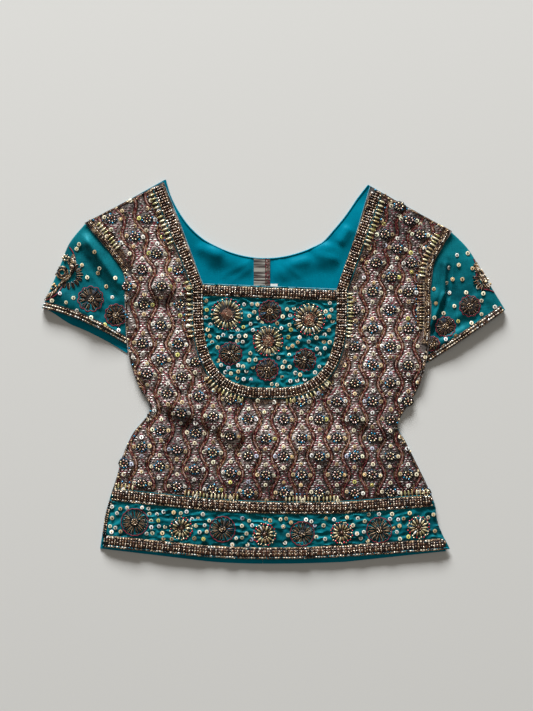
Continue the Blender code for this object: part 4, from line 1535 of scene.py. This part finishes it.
for offset in (-0.8, 1.4):
    sew_row(narrow, cloth_tree["border"], border_side, offset, 2.5, SEED, (1.2, 1.15, 1.0),
            SIDE_MIX, 0.6)
for path in (
    seam_side("left", 2.45, 11.1), seam_side("right", 2.45, 8.5),
    shoulder_edge("left"), shoulder_edge("right"),
):
    edge_run = cord_run(cloth_tree["body"], path, 0.0, 0.3)
    lay_rope(narrow_ropes, edge_run, 0.9, EDGE_MIX, 1.8, 0.5)
    for spot, run in even_path(path, 6.5):
        x, y = spot.x + rng.normal(0, 0.5), spot.y + rng.normal(0, 1.5)
        place, facing = seat(cloth_tree["body"], x, y)
        if place is not None and rng.random() < 0.75:
            tint = pick((4, BLACK), (2, CREAM), (2, BRONZE), (1, CYAN))
            way = (run.x, run.y, 0)
            narrow.add(SEED, place + facing * 0.8, way, facing, (1.2, 1.2, 1.0), tint)
narrow.finish("edging_beads", bead_finish, "bead_band")
narrow_ropes.finish("edging_ropes", thread_finish, "bead_band", smooth_faces=False)

# %% [markdown]
# Beside the bands stands a comb of long oval beads in patches, olive and gold, and where the
# comb stops the ground is hatched with short brown threads at right angles to the band.

# %% Combs of oval beads and brown hatching
Comb = namedtuple("Comb", "start end pitch")
NECK_COMBS = [
    Comb((-132, 198), (-101, 147), 5.2), Comb((-103, 97), (-96, 35), 5.8),
    Comb((-73, -4), (-32, -32), 4.0), Comb((13, -32), (58, -7), 4.2),
    Comb((115, 192), (100, 142), 4.6), Comb((89, 89), (87, 35), 4.2),
]
HEM_COMBS = [
    Comb((-178, -135), (-157, -138), 4.2), Comb((-103, -144), (-38, -150), 4.2),
    Comb((13, -153), (74, -150), 4.2), Comb((142, -146), (176, -142), 4.2),
]
ARM_COMBS = {
    "left": [Comb((-200, 160), (-180, 134), 4.2)],
    "right": [Comb((190, 148), (172, 104), 4.2), Comb((171, 98), (165, 46), 3.4)],
}
COMB_MIX = ((3, linear(172, 164, 112)), (4, linear(222, 212, 174)), (1, linear(176, 150, 108)))
SLIM_MIX = ((3, BRONZE), (3, linear(150, 128, 88)), (1, TAN), (4, BROWN))
# A comb with less than this many millimetres from tooth to tooth has slim brown ones
SLIM_PITCH = 3.9
HATCH_MIX = ((4, BROWN), (3, linear(112, 80, 62)), (4, DARK_BROWN), (1, BRONZE))
# Near-black stitches laid as painted shade: between comb teeth, under a stem's braid and in the
# coil
GAP_SHADE_MIX = ((3, INK), (2, DARK_BROWN))
TIP_MIX = ((5, BLACK), (2, CYAN), (1, NIGHT), (2, DARK_BROWN))


def nearest_place(points, target):
    """Which of a path's points is nearest to a place."""
    return min(range(len(points)), key=lambda k: math.dist(points[k][0], target))


def sew_comb(beads, spot, out, start, pitch):
    """One tooth of a comb: an oval bead with a seed at each end and a dark bead beyond."""
    slim = pitch <= SLIM_PITCH
    oval = (2.6, 0.8, 1.1) if slim else (3.1, 0.72 + 0.11 * pitch, 1.1)
    for reach, shape, size, colours, lift in (
        (start + 3.6, OVAL, oval, SLIM_MIX if slim else COMB_MIX, 0.8),
        (start + 0.4, SEED, (0.7, 0.7, 0.6), ((3, CREAM), (2, BRONZE)), 0.7),
        (start + 7.0, SEED, (0.8, 0.8, 0.75), ((2, CREAM), (2, GOLD), (4, BROWN)), 0.7),
        (start + 8.9, SEED, (1.15, 1.15, 0.9), TIP_MIX, 0.6),
    ):
        x, y = spot + out * reach
        place, facing = seat(cloth_tree["body"], x, y)
        if place is not None and for_pattern(x, y, 0.5, 0.2):
            way = (out.x, out.y, 0)
            beads.add(shape, place + facing * lift, way, facing, size, pick(*colours))


def sew_hatch(threads, spot, out, reach, size, colours, slack):
    """One stitch across a margin."""
    x, y = spot + out * reach
    place, facing = seat(cloth_tree["body"], x, y)
    if place is not None and for_pattern(x, y, 0.9, 0.2):
        way = Vector((out.x + rng.normal(0, slack), out.y + rng.normal(0, slack), 0))
        threads.add(STITCH, place + facing * 0.15, way, facing, size, pick(*colours))


def sew_margin(path, half_width, hand, combs, wide=8.0):
    """Combs in their patches along a band, near-black stitches of painted shade between, and
    hatching elsewhere.
    """
    points = even_path(path, 1.0)
    spans = []
    for comb in combs:
        low, high = sorted(nearest_place(points, end) for end in (comb.start, comb.end))
        spans.append((low, high, comb.pitch))
    for k, (spot, run) in enumerate(points):
        out = Vector((-run.y, run.x)) * hand
        pitch = next((p for low, high, p in spans if low <= k <= high), None)
        if pitch:
            for reach in (2.6, 5.6):
                sew_hatch(hatch, spot, out, half_width + reach, (2.0, 0.65, 0.35), GAP_SHADE_MIX, 0.05)
            if int(k / pitch) != int((k - 1) / pitch):
                sew_comb(comb_beads, spot, out, half_width + 0.6, pitch)
        else:
            reach = half_width + 1.3
            while reach < half_width + wide:
                sew_hatch(hatch, spot, out, reach + rng.normal(0, 0.2), (1.6, 0.45, 0.45),
                          HATCH_MIX, 0.25)
                reach += 2.3


# The hatching is lightened and darkened by the painted light and shade of the folds
comb_beads, hatch = Sewn(), Sewn(thread_painted_light)
sew_margin(neck_path, NECK_HALF, -1, NECK_COMBS)
sew_margin(hem_path(BORDER_ROW), HEM_HALF, 1, HEM_COMBS, 6.0)
sew_margin(armhole_path("left"), NARROW_HALF, -1, ARM_COMBS["left"])
sew_margin(armhole_path("right"), NARROW_HALF, 1, ARM_COMBS["right"])
comb_beads.finish("comb_beads", bead_finish, "gold_beads")
hatch.finish("stitches_hatch", thread_finish, "brocade", smooth_faces=False)

# %% [markdown]
# Rosettes sit on the plain teal cloth, in four kinds. A gold one has a coiled brown middle, a
# wheel of fat olive beads and red and cream beads at their tips. A star is a smaller gold one
# with dark beads between its points. A dark one has petals, each a black oval between two
# bronze threads, inside a scalloped maroon cord, with gold beads in the middle, and a wheel
# is a dark one on a small pad with a rounder cord. The beads of one rosette share a level, so
# the crinkle of the cloth doesn't break it up.

# %% Rosettes
Rosette = namedtuple("Rosette", "cloth centre radius petals kind")
ROSETTES = [
    Rosette("yoke", (-52, 64), 17.8, 20, "gold"),
    Rosette("yoke", (-6, 34), 17, 20, "gold"),
    Rosette("yoke", (40, 58), 17.8, 20, "gold"),
    Rosette("yoke", (-4, 67), 12.6, 14, "dark"),
    Rosette("yoke", (-48, 20), 13, 14, "dark"),
    Rosette("yoke", (35, 13), 12.6, 14, "dark"),
    Rosette("yoke", (-7, 2), 12.6, 14, "dark"),
    Rosette("border", (-155, -168), 15.2, 16, "wheel"),
    Rosette("border", (-103, -175), 13.6, 14, "star"),
    Rosette("border", (-57, -176), 14.4, 15, "wheel"),
    Rosette("border", (-10, -182), 13.4, 14, "star"),
    Rosette("border", (32, -181), 13.6, 15, "wheel"),
    Rosette("border", (76, -180), 13.0, 14, "star"),
    Rosette("border", (118, -177), 14.2, 15, "wheel"),
    Rosette("border", (162, -174), 13.2, 14, "star"),
    Rosette("left", (-204, 81), 14.5, 11, "dark"),
    Rosette("left", (-176, 63), 12.5, 11, "dark"),
    Rosette("right", (219, 73), 12, 11, "dark"),
    Rosette("right", (192, 50), 11.5, 11, "dark"),
    Rosette("right", (177, 31), 8.5, 10, "dark"),
]
rosette_beads, rosette_threads, rosette_pads = Sewn(), Sewn(), Sewn()
scallops = []
GOLD_OVALS = ((4, linear(204, 190, 150)), (3, linear(156, 144, 104)), (1, WHITE), (2, BRONZE))
DARK_OVALS = ((5, BLACK), (2, DARK_BROWN), (1, NIGHT))
PETAL_ROPE = ((4, linear(136, 108, 80)), (2, TAN), (4, BROWN))
TIPS = ((4, RED), (4, CREAM), (2, BRONZE), (1, linear(232, 90, 100)))


def around(centre, out, angle):
    """A place at a distance and an angle from a centre."""
    return (centre[0] + out * math.cos(angle), centre[1] + out * math.sin(angle))


def rosette_level(rosette):
    """The height that a rosette rests at, from two rings of twelve points under it."""
    heights = []
    for k in range(24):
        out = rosette.radius * (0.8 if k < 12 else 0.35)
        spot = seat(cloth_tree[rosette.cloth], *around(rosette.centre, out, math.pi * k / 6))[0]
        if spot is not None:
            heights.append(spot.z)
    return float(np.percentile(heights, 70))


def sew_rosette(rosette):
    """One rosette, from its middle outwards."""
    level = rosette_level(rosette)
    radius, petals = rosette.radius, rosette.petals
    start = rng.random()

    def at(out, angle, lift):
        x, y = around(rosette.centre, out, angle)
        spot = seat(cloth_tree[rosette.cloth], x, y)[0]
        z = level if spot is None else max(level - 0.3, spot.z)
        return Vector((x, y, z + lift))

    def middle(sewn, shape, wide, high, lift, tint):
        sewn.add(shape, at(0, 0, lift), FLAT, UP, (wide, wide, high), tint)

    def ring(count, out, shape, size, colours, lift, turn=0.0, slant=0.0):
        for k in range(count):
            angle = start + turn + 2 * math.pi * k / count + rng.normal(0, 0.02)
            way = (math.cos(angle + slant), math.sin(angle + slant), 0)
            sewn = rosette_threads if shape is STITCH else rosette_beads
            sewn.add(shape, at(out, angle, lift), way, UP, size, pick(*colours))

    half_turn = math.pi / petals
    if rosette.kind == "gold":
        middle(rosette_pads, BALL, 0.84 * radius, 0.5, 0.3, INK)
        middle(rosette_pads, BALL, 7.4, 1.4, 0.1, BROWN)
        for out, count, lift in ((1.4, 6, 1.6), (3.5, 13, 1.45), (5.7, 20, 1.15)):
            ring(count, out, STITCH, (1.5, 0.66, 0.6), ((3, TAN), (3, COPPER), (3, BROWN)),
                 lift, 0.3 * out, 0.9)
        ring(26, 7.9, SEED, (0.8, 0.8, 0.7),
             ((1, PEARL), (3, BRONZE), (3, BROWN), (3, DARK_BROWN)), 0.7)
        ring(petals, 0.71 * radius, OVAL, (3.3, 1.2, 1.05), GOLD_OVALS, 0.9)
        ring(petals, 0.77 * radius, STITCH, (2.4, 0.32, 0.45), ((2, SILVER), (2, BRONZE)), 0.9,
             half_turn)
        ring(petals, 0.95 * radius, SEED, (1.05, 1.05, 0.95), TIPS, 0.8)
        ring(petals, 0.99 * radius, SEED, (0.75, 0.75, 0.7),
             ((2, BRONZE), (1, RED), (4, DARK_BROWN)), 0.5, half_turn)
        return
    if rosette.kind == "star":
        middle(rosette_pads, BALL, 0.7 * radius, 0.5, 0.3, INK)
        middle(rosette_beads, BALL, 2.4, 1.5, 0.3, BROWN)
        ring(10, 3.3, SEED, (0.8, 0.8, 0.75), ((4, DARK_BROWN), (2, BRONZE), (1, CREAM)), 0.8)
        ring(petals, 0.56 * radius, OVAL, (2.9, 1.15, 1.05), GOLD_OVALS, 1.0)
        ring(petals, 0.6 * radius, OVAL, (2.2, 0.8, 0.8), DARK_OVALS, 0.7, half_turn)
        ring(petals, 0.86 * radius, SEED, (1.15, 1.15, 0.95), TIPS, 0.8)
        ring(petals, 0.94 * radius, SEED, (0.9, 0.9, 0.8), TIPS, 0.6, half_turn)
        return
    pad, oval_out, oval_wide, splay, lobes, deep = (
        (0.36, 0.6, 1.05, 0.9, 16, 0.04) if rosette.kind == "wheel"
        else (0.82, 0.64, 1.45, 0.95, petals, 0.14)
    )
    splay = splay * math.pi / petals
    middle(rosette_pads, BALL, pad * radius, 0.5, 0.35, INK)
    ring(petals, oval_out * radius, OVAL, (0.3 * radius, oval_wide, 0.8), DARK_OVALS, 0.5)
    for hand in (-1, 1):
        ring(petals, oval_out * radius, STITCH, (0.29 * radius, 0.36, 0.6), PETAL_ROPE, 1.05,
             hand * 0.42 * splay, hand * 0.1)
        ring(petals, 0.42 * radius, STITCH, (0.1 * radius, 0.3, 0.5), PETAL_ROPE, 0.9,
             hand * 0.3 * splay, hand * 0.2)
    ring(petals, 0.88 * radius, SEED, (0.62, 0.62, 0.6), ((3, BRONZE), (3, DARK_BROWN)), 0.7)
    ring(9, 2.8, SEED, (0.95, 0.95, 0.85), ((4, TAN), (2, BRONZE), (2, DARK_BROWN)), 0.9)
    middle(rosette_beads, SEED, 1.5, 0.9, 1.0, DARK_BROWN)
    ring(3, 0.8, SEED, (0.7, 0.7, 0.7), ((1, PEARL), (3, BRONZE)), 1.6)
    line = []
    for k in range(lobes * 8 + 1):
        angle = 2 * math.pi * k / (lobes * 8)
        wave = abs(math.sin(lobes * (angle - start) / 2 + math.pi / 2))
        line.append(at(radius * (1.0 - deep + deep * wave), angle, 0.4))
    scallops.append(line)


for rosette in ROSETTES:
    sew_rosette(rosette)
rosette_beads.finish(
    "rosette_beads", bead_finish, "dark_beads", [f"rosette_{k:02d}" for k in range(1, 16)]
)
rosette_pads.finish("rosette_pads", cotton_finish, "dark_beads")
rosette_threads.finish("rosette_threads", thread_finish, "gold_beads", smooth_faces=False)
tubes("rosette_scallops", scallops, 0.44, cotton_finish, "dark_beads", linear(122, 14, 38))

# %% [markdown]
# Sequins are scattered over the plain cloth in loose rows. On the yoke and the border they
# keep their distance from each other and from the rosettes, so each one is tried at a place
# on a shaken grid and left out where something is in the way. On the sleeves each has a
# place of its own, read from the photo.

# %% Sequins on the teal cloth
SLEEVE_SEQUINS = {
    "left": [
        (-219, 156), (-217, 142), (-220, 137), (-199, 133), (-214, 119), (-194, 115),
        (-196, 110), (-208, 105), (-202, 95), (-187, 95), (-176, 104), (-180, 83),
        (-223, 82), (-231, 77), (-219, 68), (-187, 68), (-203, 60), (-188, 52),
        (-173, 46), (-238, 87), (-247, 79),
    ],
    "right": [
        (205, 130), (207, 119), (196, 116), (222, 115), (217, 132), (200, 103), (211, 103),
        (193, 99), (179, 92), (215, 88), (228, 94), (197, 88), (181, 76), (232, 79),
        (202, 73), (234, 87), (247, 72), (232, 64), (190, 65), (179, 60), (206, 56),
        (221, 54), (203, 40), (192, 36), (178, 30),
    ],
}
teal_sequins, teal_beads = Sewn(), Sewn()


def scatter_sequins(part, box, step, keep):
    """Sequins in loose rows over a part, clear of the rosettes and of each other."""
    placed = []
    (x0, y0), (x1, y1) = box
    row, y = 0, y0
    while y <= y1:
        x = x0 + (step / 2 if row % 2 else 0)
        while x <= x1:
            px, py = x + rng.normal(0, step * 0.2), y + rng.normal(0, step * 0.16)
            clear = all(
                math.dist((px, py), r.centre) > r.radius + 2.0 for r in ROSETTES if r.cloth == part
            )
            clear = clear and all(math.dist((px, py), other) > 5.6 for other in placed)
            if clear and keep(px, py):
                placed.append((px, py))
                sew_sequin(teal_sequins, teal_beads, cloth_tree[part], px, py)
            x += step
        y += step * 0.8
        row += 1
    return len(placed)


bar_near, lower_near = near_tree(bar_path), near_tree(hem_path(LOWER_BAND_ROW, 0.0))
on_yoke = scatter_sequins(
    "yoke", ((-76, -22), (70, 84)), 8.6,
    lambda x, y: in_yoke(x, y) and from_path(neck_near, x, y) > NECK_HALF + 3
    and from_path(bar_near, x, y) > NECK_HALF + 2.4 and y < 84,
)
on_border = scatter_sequins(
    "border", ((-188, -208), (192, -146)), 8.8,
    lambda x, y: from_path(hem_near, x, y) > HEM_HALF + 2.6
    and from_path(lower_near, x, y) > HEM_HALF + 2.6
    and all(seat(cloth_tree["border"], x + dx, y)[0] is not None for dx in (0, -3, 3))
    and y < front_point(0.5, BORDER_ROW)[1] + 20
    and y > front_point(0.5, 0)[1],
)
for side in SIDES:
    for x, y in SLEEVE_SEQUINS[side]:
        if all(math.dist((x, y), r.centre) > r.radius for r in ROSETTES if r.cloth == side):
            sew_sequin(teal_sequins, teal_beads, cloth_tree[side], x, y)
print("sequins on yoke and border:", on_yoke, on_border)
teal_sequins.finish("sequins_teal", sequin_finish, "gold_beads")
teal_beads.finish("beads_teal", bead_finish, "gold_beads")

# %% [markdown]
# A paisley of ropes and beads is sewn over the folded top edge of each sleeve. Only its half
# on the upper layer shows: a thick braided stem, a crimson outline, clusters of beads and a
# fan of dark petals. The left one also has a coil in its crook.

# %% Paisleys on the sleeve folds
STEMS = {
    "left": [(-226, 126), (-223.6, 116), (-226, 108), (-231.6, 103), (-237, 99), (-242, 90.5),
             (-248, 86), (-254, 82.5)],
    "right": [(226.5, 121), (231, 112), (236.5, 102), (241.5, 95.5)],
}
OUTLINES = {
    "left": [[(-228, 139), (-224, 133), (-221.6, 125.7), (-221.4, 118)],
             [(-236, 94.5), (-240, 87.5), (-246, 83), (-254, 79.5)]],
    "right": [[(223.5, 126), (227, 117), (226.4, 109), (226.6, 101), (231, 93), (240, 91),
               (246, 89)]],
}
CLUSTERS = {"left": [(-231.5, 127), (-246, 95)], "right": [(240, 100)]}
Fan = namedtuple("Fan", "centre petals out start end")
FANS = {
    "left": Fan((-229, 108), 8, 12.5, 48, -112), "right": Fan((236, 103.5), 6, 10.0, 145, 285)
}
COIL = (-236, 110.5)
STEM_ROPE = ((5, linear(156, 130, 96)), (3, PEARL), (3, BROWN), (3, INK))
# Each strand of a stem: how far across it lies, how thick it is, its lift and its colours
# The three wide low strands are near-black: painted shade between the braid's stitches
STRANDS = (
    (-3.6, 1.6, 0.3, GAP_SHADE_MIX), (0.0, 1.6, 0.3, GAP_SHADE_MIX), (3.6, 1.6, 0.3, GAP_SHADE_MIX),
    (-4.4, 0.8, 0.8, STEM_ROPE), (-2.2, 1.1, 1.0, STEM_ROPE), (0.0, 0.8, 1.1, STEM_ROPE),
    (2.2, 1.1, 1.0, STEM_ROPE), (4.4, 0.8, 0.8, STEM_ROPE),
)
paisley_beads, paisley_ropes = Sewn(), Sewn()
outlines = []


def on_cloth(tree, points, lift):
    """A smooth line through points, laid on a cloth, with ten steps from each to the next."""
    spots = [seat(tree, *along(points, k / 10))[0] for k in range(10 * (len(points) - 1) + 1)]
    return [spot + Vector((0, 0, lift)) for spot in spots if spot is not None]


for side in SIDES:
    tree = cloth_tree[side]
    for across, thick, lift, colours in STRANDS:
        points = [(x + 0.6 * across, y + 0.8 * across) for x, y in STEMS[side]]
        lay_rope(paisley_ropes, on_cloth(tree, points, lift), thick, colours, 2.2, 0.6)
    outlines += [on_cloth(tree, points, 0.5) for points in OUTLINES[side]]
    for centre in CLUSTERS[side]:
        for k in range(8):
            out, lift = (0.9, 2.4) if k > 5 else (3.1, 1.0)
            spot, facing = seat(tree, *around(centre, out, k * math.pi / 3))
            if spot is not None:
                tint = pick((3, BLACK), (3, DARK_BROWN), (3, CREAM), (1, GOLD), (1, CYAN))
                size = (1.45, 1.45, 1.3)
                paisley_beads.add(SEED, spot + facing * lift, FLAT, facing, size, tint)
    fan = FANS[side]
    for k in range(fan.petals):
        angle = math.radians(fan.start + (fan.end - fan.start) * k / (fan.petals - 1))
        spot, facing = seat(tree, *around(fan.centre, fan.out, angle))
        if spot is not None:
            way = (math.cos(angle), math.sin(angle), 0)
            paisley_beads.add(OVAL, spot + facing * 0.4, way, facing, (4.2, 1.5, 0.9), BLACK)
            for hand in (-1, 1):
                shift = Vector((-way[1], way[0], 0)) * hand * 1.35 + facing * 0.8
                paisley_ropes.add(
                    STITCH, spot + shift, way, facing, (4.2, 0.45, 0.6), pick(*PETAL_ROPE)
                )
# The coil's middle ring of near-black stitches is painted shade between its two lighter rings
for count, out, size, colours in (
    (14, 3.4, (1.7, 0.9, 1.0), PETAL_ROPE), (16, 5.0, (1.7, 1.3, 1.0), GAP_SHADE_MIX),
    (22, 6.6, (1.6, 0.9, 1.0), STEM_ROPE),
):
    for k in range(count):
        angle = 2 * math.pi * k / count
        spot, facing = seat(cloth_tree["left"], *around(COIL, out, angle))
        if spot is not None:
            c, s = math.cos(angle), math.sin(angle)
            way = (-s + 0.4 * c, c + 0.4 * s, 0)
            paisley_ropes.add(STITCH, spot + facing * 0.9, way, facing, size, pick(*colours))
paisley_beads.finish("paisley_beads", bead_finish, "dark_beads")
paisley_ropes.finish("paisley_ropes", thread_finish, "dark_beads", smooth_faces=False)
tubes("paisley_outlines", [run for run in outlines if len(run) > 2], 0.55, cotton_finish,
      "dark_beads", linear(122, 14, 38))

# %% [markdown]
# The hook strip of the back opening is a narrow woven tape in stripes, and the label beside
# it is plain. The neckline of the back is turned over and stitched, which leaves a round
# edge. The front's neckline has a fine pale running stitch inside the bead band.

# %% Hook strip, label and neck edges


def striped(name):
    """A tape woven in uneven stripes across its length."""
    material, tree, shader = new_finish(name, linear(120, 110, 106), 0.6, 0.2)
    noisy = add(tree, "ShaderNodeTexNoise", Vector=stretched(tree, (30, 480, 30)), Scale=1.0)
    bands = noisy.outputs[0]
    colour = ramp(tree, bands, [
        (0.4, linear(48, 40, 40)), (0.49, linear(96, 88, 84)), (0.58, linear(160, 158, 150)),
    ])
    tree.links.new(colour, shader.inputs["Base Color"])
    roughen(tree, shader, bands, 0.4, 0.0003)
    return material


tape = striped("striped_tape")
plain_tape = new_finish("plain_tape", linear(226, 226, 222), 0.7)[0]
strip_low, strip_high = (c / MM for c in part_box("placket"))


def strip_place(share, up):
    """The strip follows the neckline at its top and lies flat below."""
    row = BACK_ROWS[BACK_NECK_ROW]
    (left, _), (right, _) = row.neck_left, row.neck_right
    x = strip_low.x + (strip_high.x - strip_low.x) * share
    top = bow(row.neck_left, row.centre, row.neck_right, (x - left) / (right - left))[1] - 0.8
    z = 2.45 + 0.12 * ripple(x, strip_low.y + up * 300, 6, 12, 3.0)
    return (x, strip_low.y + (top - strip_low.y) * up, z)


bm = lay_grid(8, 110, strip_place)
strip_tree = BVHTree.FromBMesh(bm)
thicken(bm, 0.8)
finish_piece(bm, "hook_strip", [tape, tape], "placket_weave", ["placket"])
# Four rows of stitches run up the strip beside its middle
trim = Sewn()
for column in range(4):
    y = 84.0 + column * 0.4
    while y < 126.5:
        spot, facing = seat(strip_tree, -8.9 + 1.35 * column, y)
        if spot is not None:
            tint = pick((4, MAROON), (3, BROWN), (2, DARK_BROWN), (1, LILAC))
            trim.add(STITCH, spot + facing * 0.1, (0.3, 1, 0), facing, (1.1, 0.6, 0.5), tint)
        y += 1.5
trim.finish("hook_strip_stitches", thread_finish, "placket_weave", smooth_faces=False)
label_low, label_high = (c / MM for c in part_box("label"))
# The label is a little smaller than its solid, to keep clear of the strip and the yoke's bar
LABEL_NARROWER, LABEL_SHORTER = 0.8, 1.4


def label_place(share, up):
    """The label lies almost flat, with a slight wave across."""
    wide = label_high.x - LABEL_NARROWER - label_low.x
    tall = label_high.y - LABEL_SHORTER - label_low.y
    wave = 2.2 + 0.1 * math.sin(4 * share)
    return (label_low.x + wide * share, label_low.y + tall * up, wave)


bm = lay_grid(6, 12, label_place)
thicken(bm, 0.5)
finish_piece(bm, "label_tape", [plain_tape, plain_tape], "white_tape", ["label"])
# Each half's edge goes down from the shoulder and then along the neckline to the opening
HALF_STEPS = 45
neck_edges = []
for side in SIDES:
    places = [
        (0.5, BACK_TOP - (BACK_TOP - BACK_NECK_ROW) * k / HALF_STEPS) for k in range(HALF_STEPS)
    ] + [(0.5 + 0.5 * k / (HALF_STEPS - 1), BACK_NECK_ROW) for k in range(HALF_STEPS)]
    run = []
    for share, place in places:
        x, y = back_point(side, share, place)
        spot = cloth_tree["back_" + side].find_nearest(Vector((x, y, 1.3)))[0]
        run.append((x, y - 0.8, spot.z + 0.1))
    neck_edges.append(run)
tubes("neck_edge_back", neck_edges, 0.85, satin, "teal_lining")

strap = [NECK_ROW + 3 * k / 30 for k in range(31)]
stitch_path = (
    [front_row(row)[1] for row in reversed(strap)]
    + [bow(*(front_row(NECK_ROW)[1:4]), k / 40) for k in range(1, 40)]
    + [front_row(row)[3] for row in strap]
)
stitch_line = [(x, y, front_height(x, y) + 0.15) for x, y in stitch_path]
tubes("neck_edge_front", [stitch_line], 0.3, cotton_finish, "teal_lining", linear(110, 160, 176))

# %% [markdown]
# A piping of teal silk shows as a thin line along the outer edge of the neck band, above the
# upper hem band and below the lower one. A brighter satin one closes the hem itself.

# %% Teal piping
piping = []
for path, offset in (
    (neck_path, -(NECK_HALF + 0.7)), (hem_path(BORDER_ROW), HEM_HALF + 0.7),
    (hem_path(LOWER_BAND_ROW), -(HEM_HALF + 0.2)),
):
    places = [beside(spot, way, offset) for spot, way in even_path(path, 2.0)]
    piping.append([(x, y, front_height(x, y) + 0.25) for x, y in places])
tubes("teal_piping", piping, 0.5, silk, "teal_silk")
hem_run = [
    (spot.x, spot.y, front_height(spot.x, spot.y) + 0.3)
    for spot, _ in even_path(hem_path(0.08, 0.004), 2.0)
]
tubes("hem_piping", [hem_run], 0.7, satin, "teal_silk")

# %% [markdown]
# The floor is plain and pale. A wide soft light stands low beyond the shoulders, so folds
# and beads throw their shadows towards the hem as in the photo, and a large weak light above
# fills them. The camera looks straight down.

# %% Floor, lights and camera
bm = bmesh.new()
bmesh.ops.create_grid(bm, x_segments=1, y_segments=1, size=3.0)
bmesh.ops.translate(bm, vec=(0, 0, -0.0002), verts=bm.verts)
floor_mesh = bpy.data.meshes.new("floor")
bm.to_mesh(floor_mesh)
bm.free()
floor = bpy.data.objects.new("floor", floor_mesh)
bpy.context.scene.collection.objects.link(floor)
floor_mesh.materials.append(new_finish("pale_floor", linear(212, 211, 208), 0.85)[0])
floor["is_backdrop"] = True


def soft_light(name, place, size, energy, colour):
    """A wide soft light that looks at the origin."""
    data = bpy.data.lights.new(name, "AREA")
    data.shape = "RECTANGLE"
    data.size, data.size_y = size
    data.energy = energy
    data.color = colour
    lamp = bpy.data.objects.new(name, data)
    bpy.context.scene.collection.objects.link(lamp)
    lamp.location = place
    lamp.rotation_euler = (Vector() - Vector(place)).to_track_quat("-Z", "Y").to_euler()


soft_light("window", (-1.2, 7.3, 2.5), (4.0, 2.0), 1470, (0.975, 0.992, 1.0))
soft_light("ceiling", (0.2, 0.2, 3.2), (2.4, 2.4), 11, (1.0, 0.97, 0.92))
world = bpy.data.worlds.new("soft_room")
world.use_nodes = True
sky = world.node_tree.nodes["Background"].inputs
sky["Color"].default_value = (1.0, 0.92, 0.8, 1.0)
sky["Strength"].default_value = 0.13
bpy.context.scene.world = world
bpy.context.scene.view_settings.view_transform = "Standard"

# The photo's width and height in pixels, metres in a pixel, and the camera's height
WIDE, TALL, SCALE, CAMERA_HIGH = 533, 711, PIXEL * MM, 1.6
camera = bpy.data.objects.new("camera", bpy.data.cameras.new("camera"))
bpy.context.scene.collection.objects.link(camera)
camera.location = (
    (WIDE / 2 - ORIGIN[0]) * SCALE, (ORIGIN[1] - TALL / 2) * SCALE, CAMERA_HIGH
)
camera.data.sensor_width = 36
camera.data.lens = 36 * CAMERA_HIGH / (TALL * SCALE)
bpy.context.scene.camera = camera

# %% Print the sizes and finish
seen_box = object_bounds()
growth = [(b - a) / MM for p, q in zip(cad_box, seen_box) for a, b in zip(p, q)]
print("grew by mm:", [round(c, 1) for c in growth])
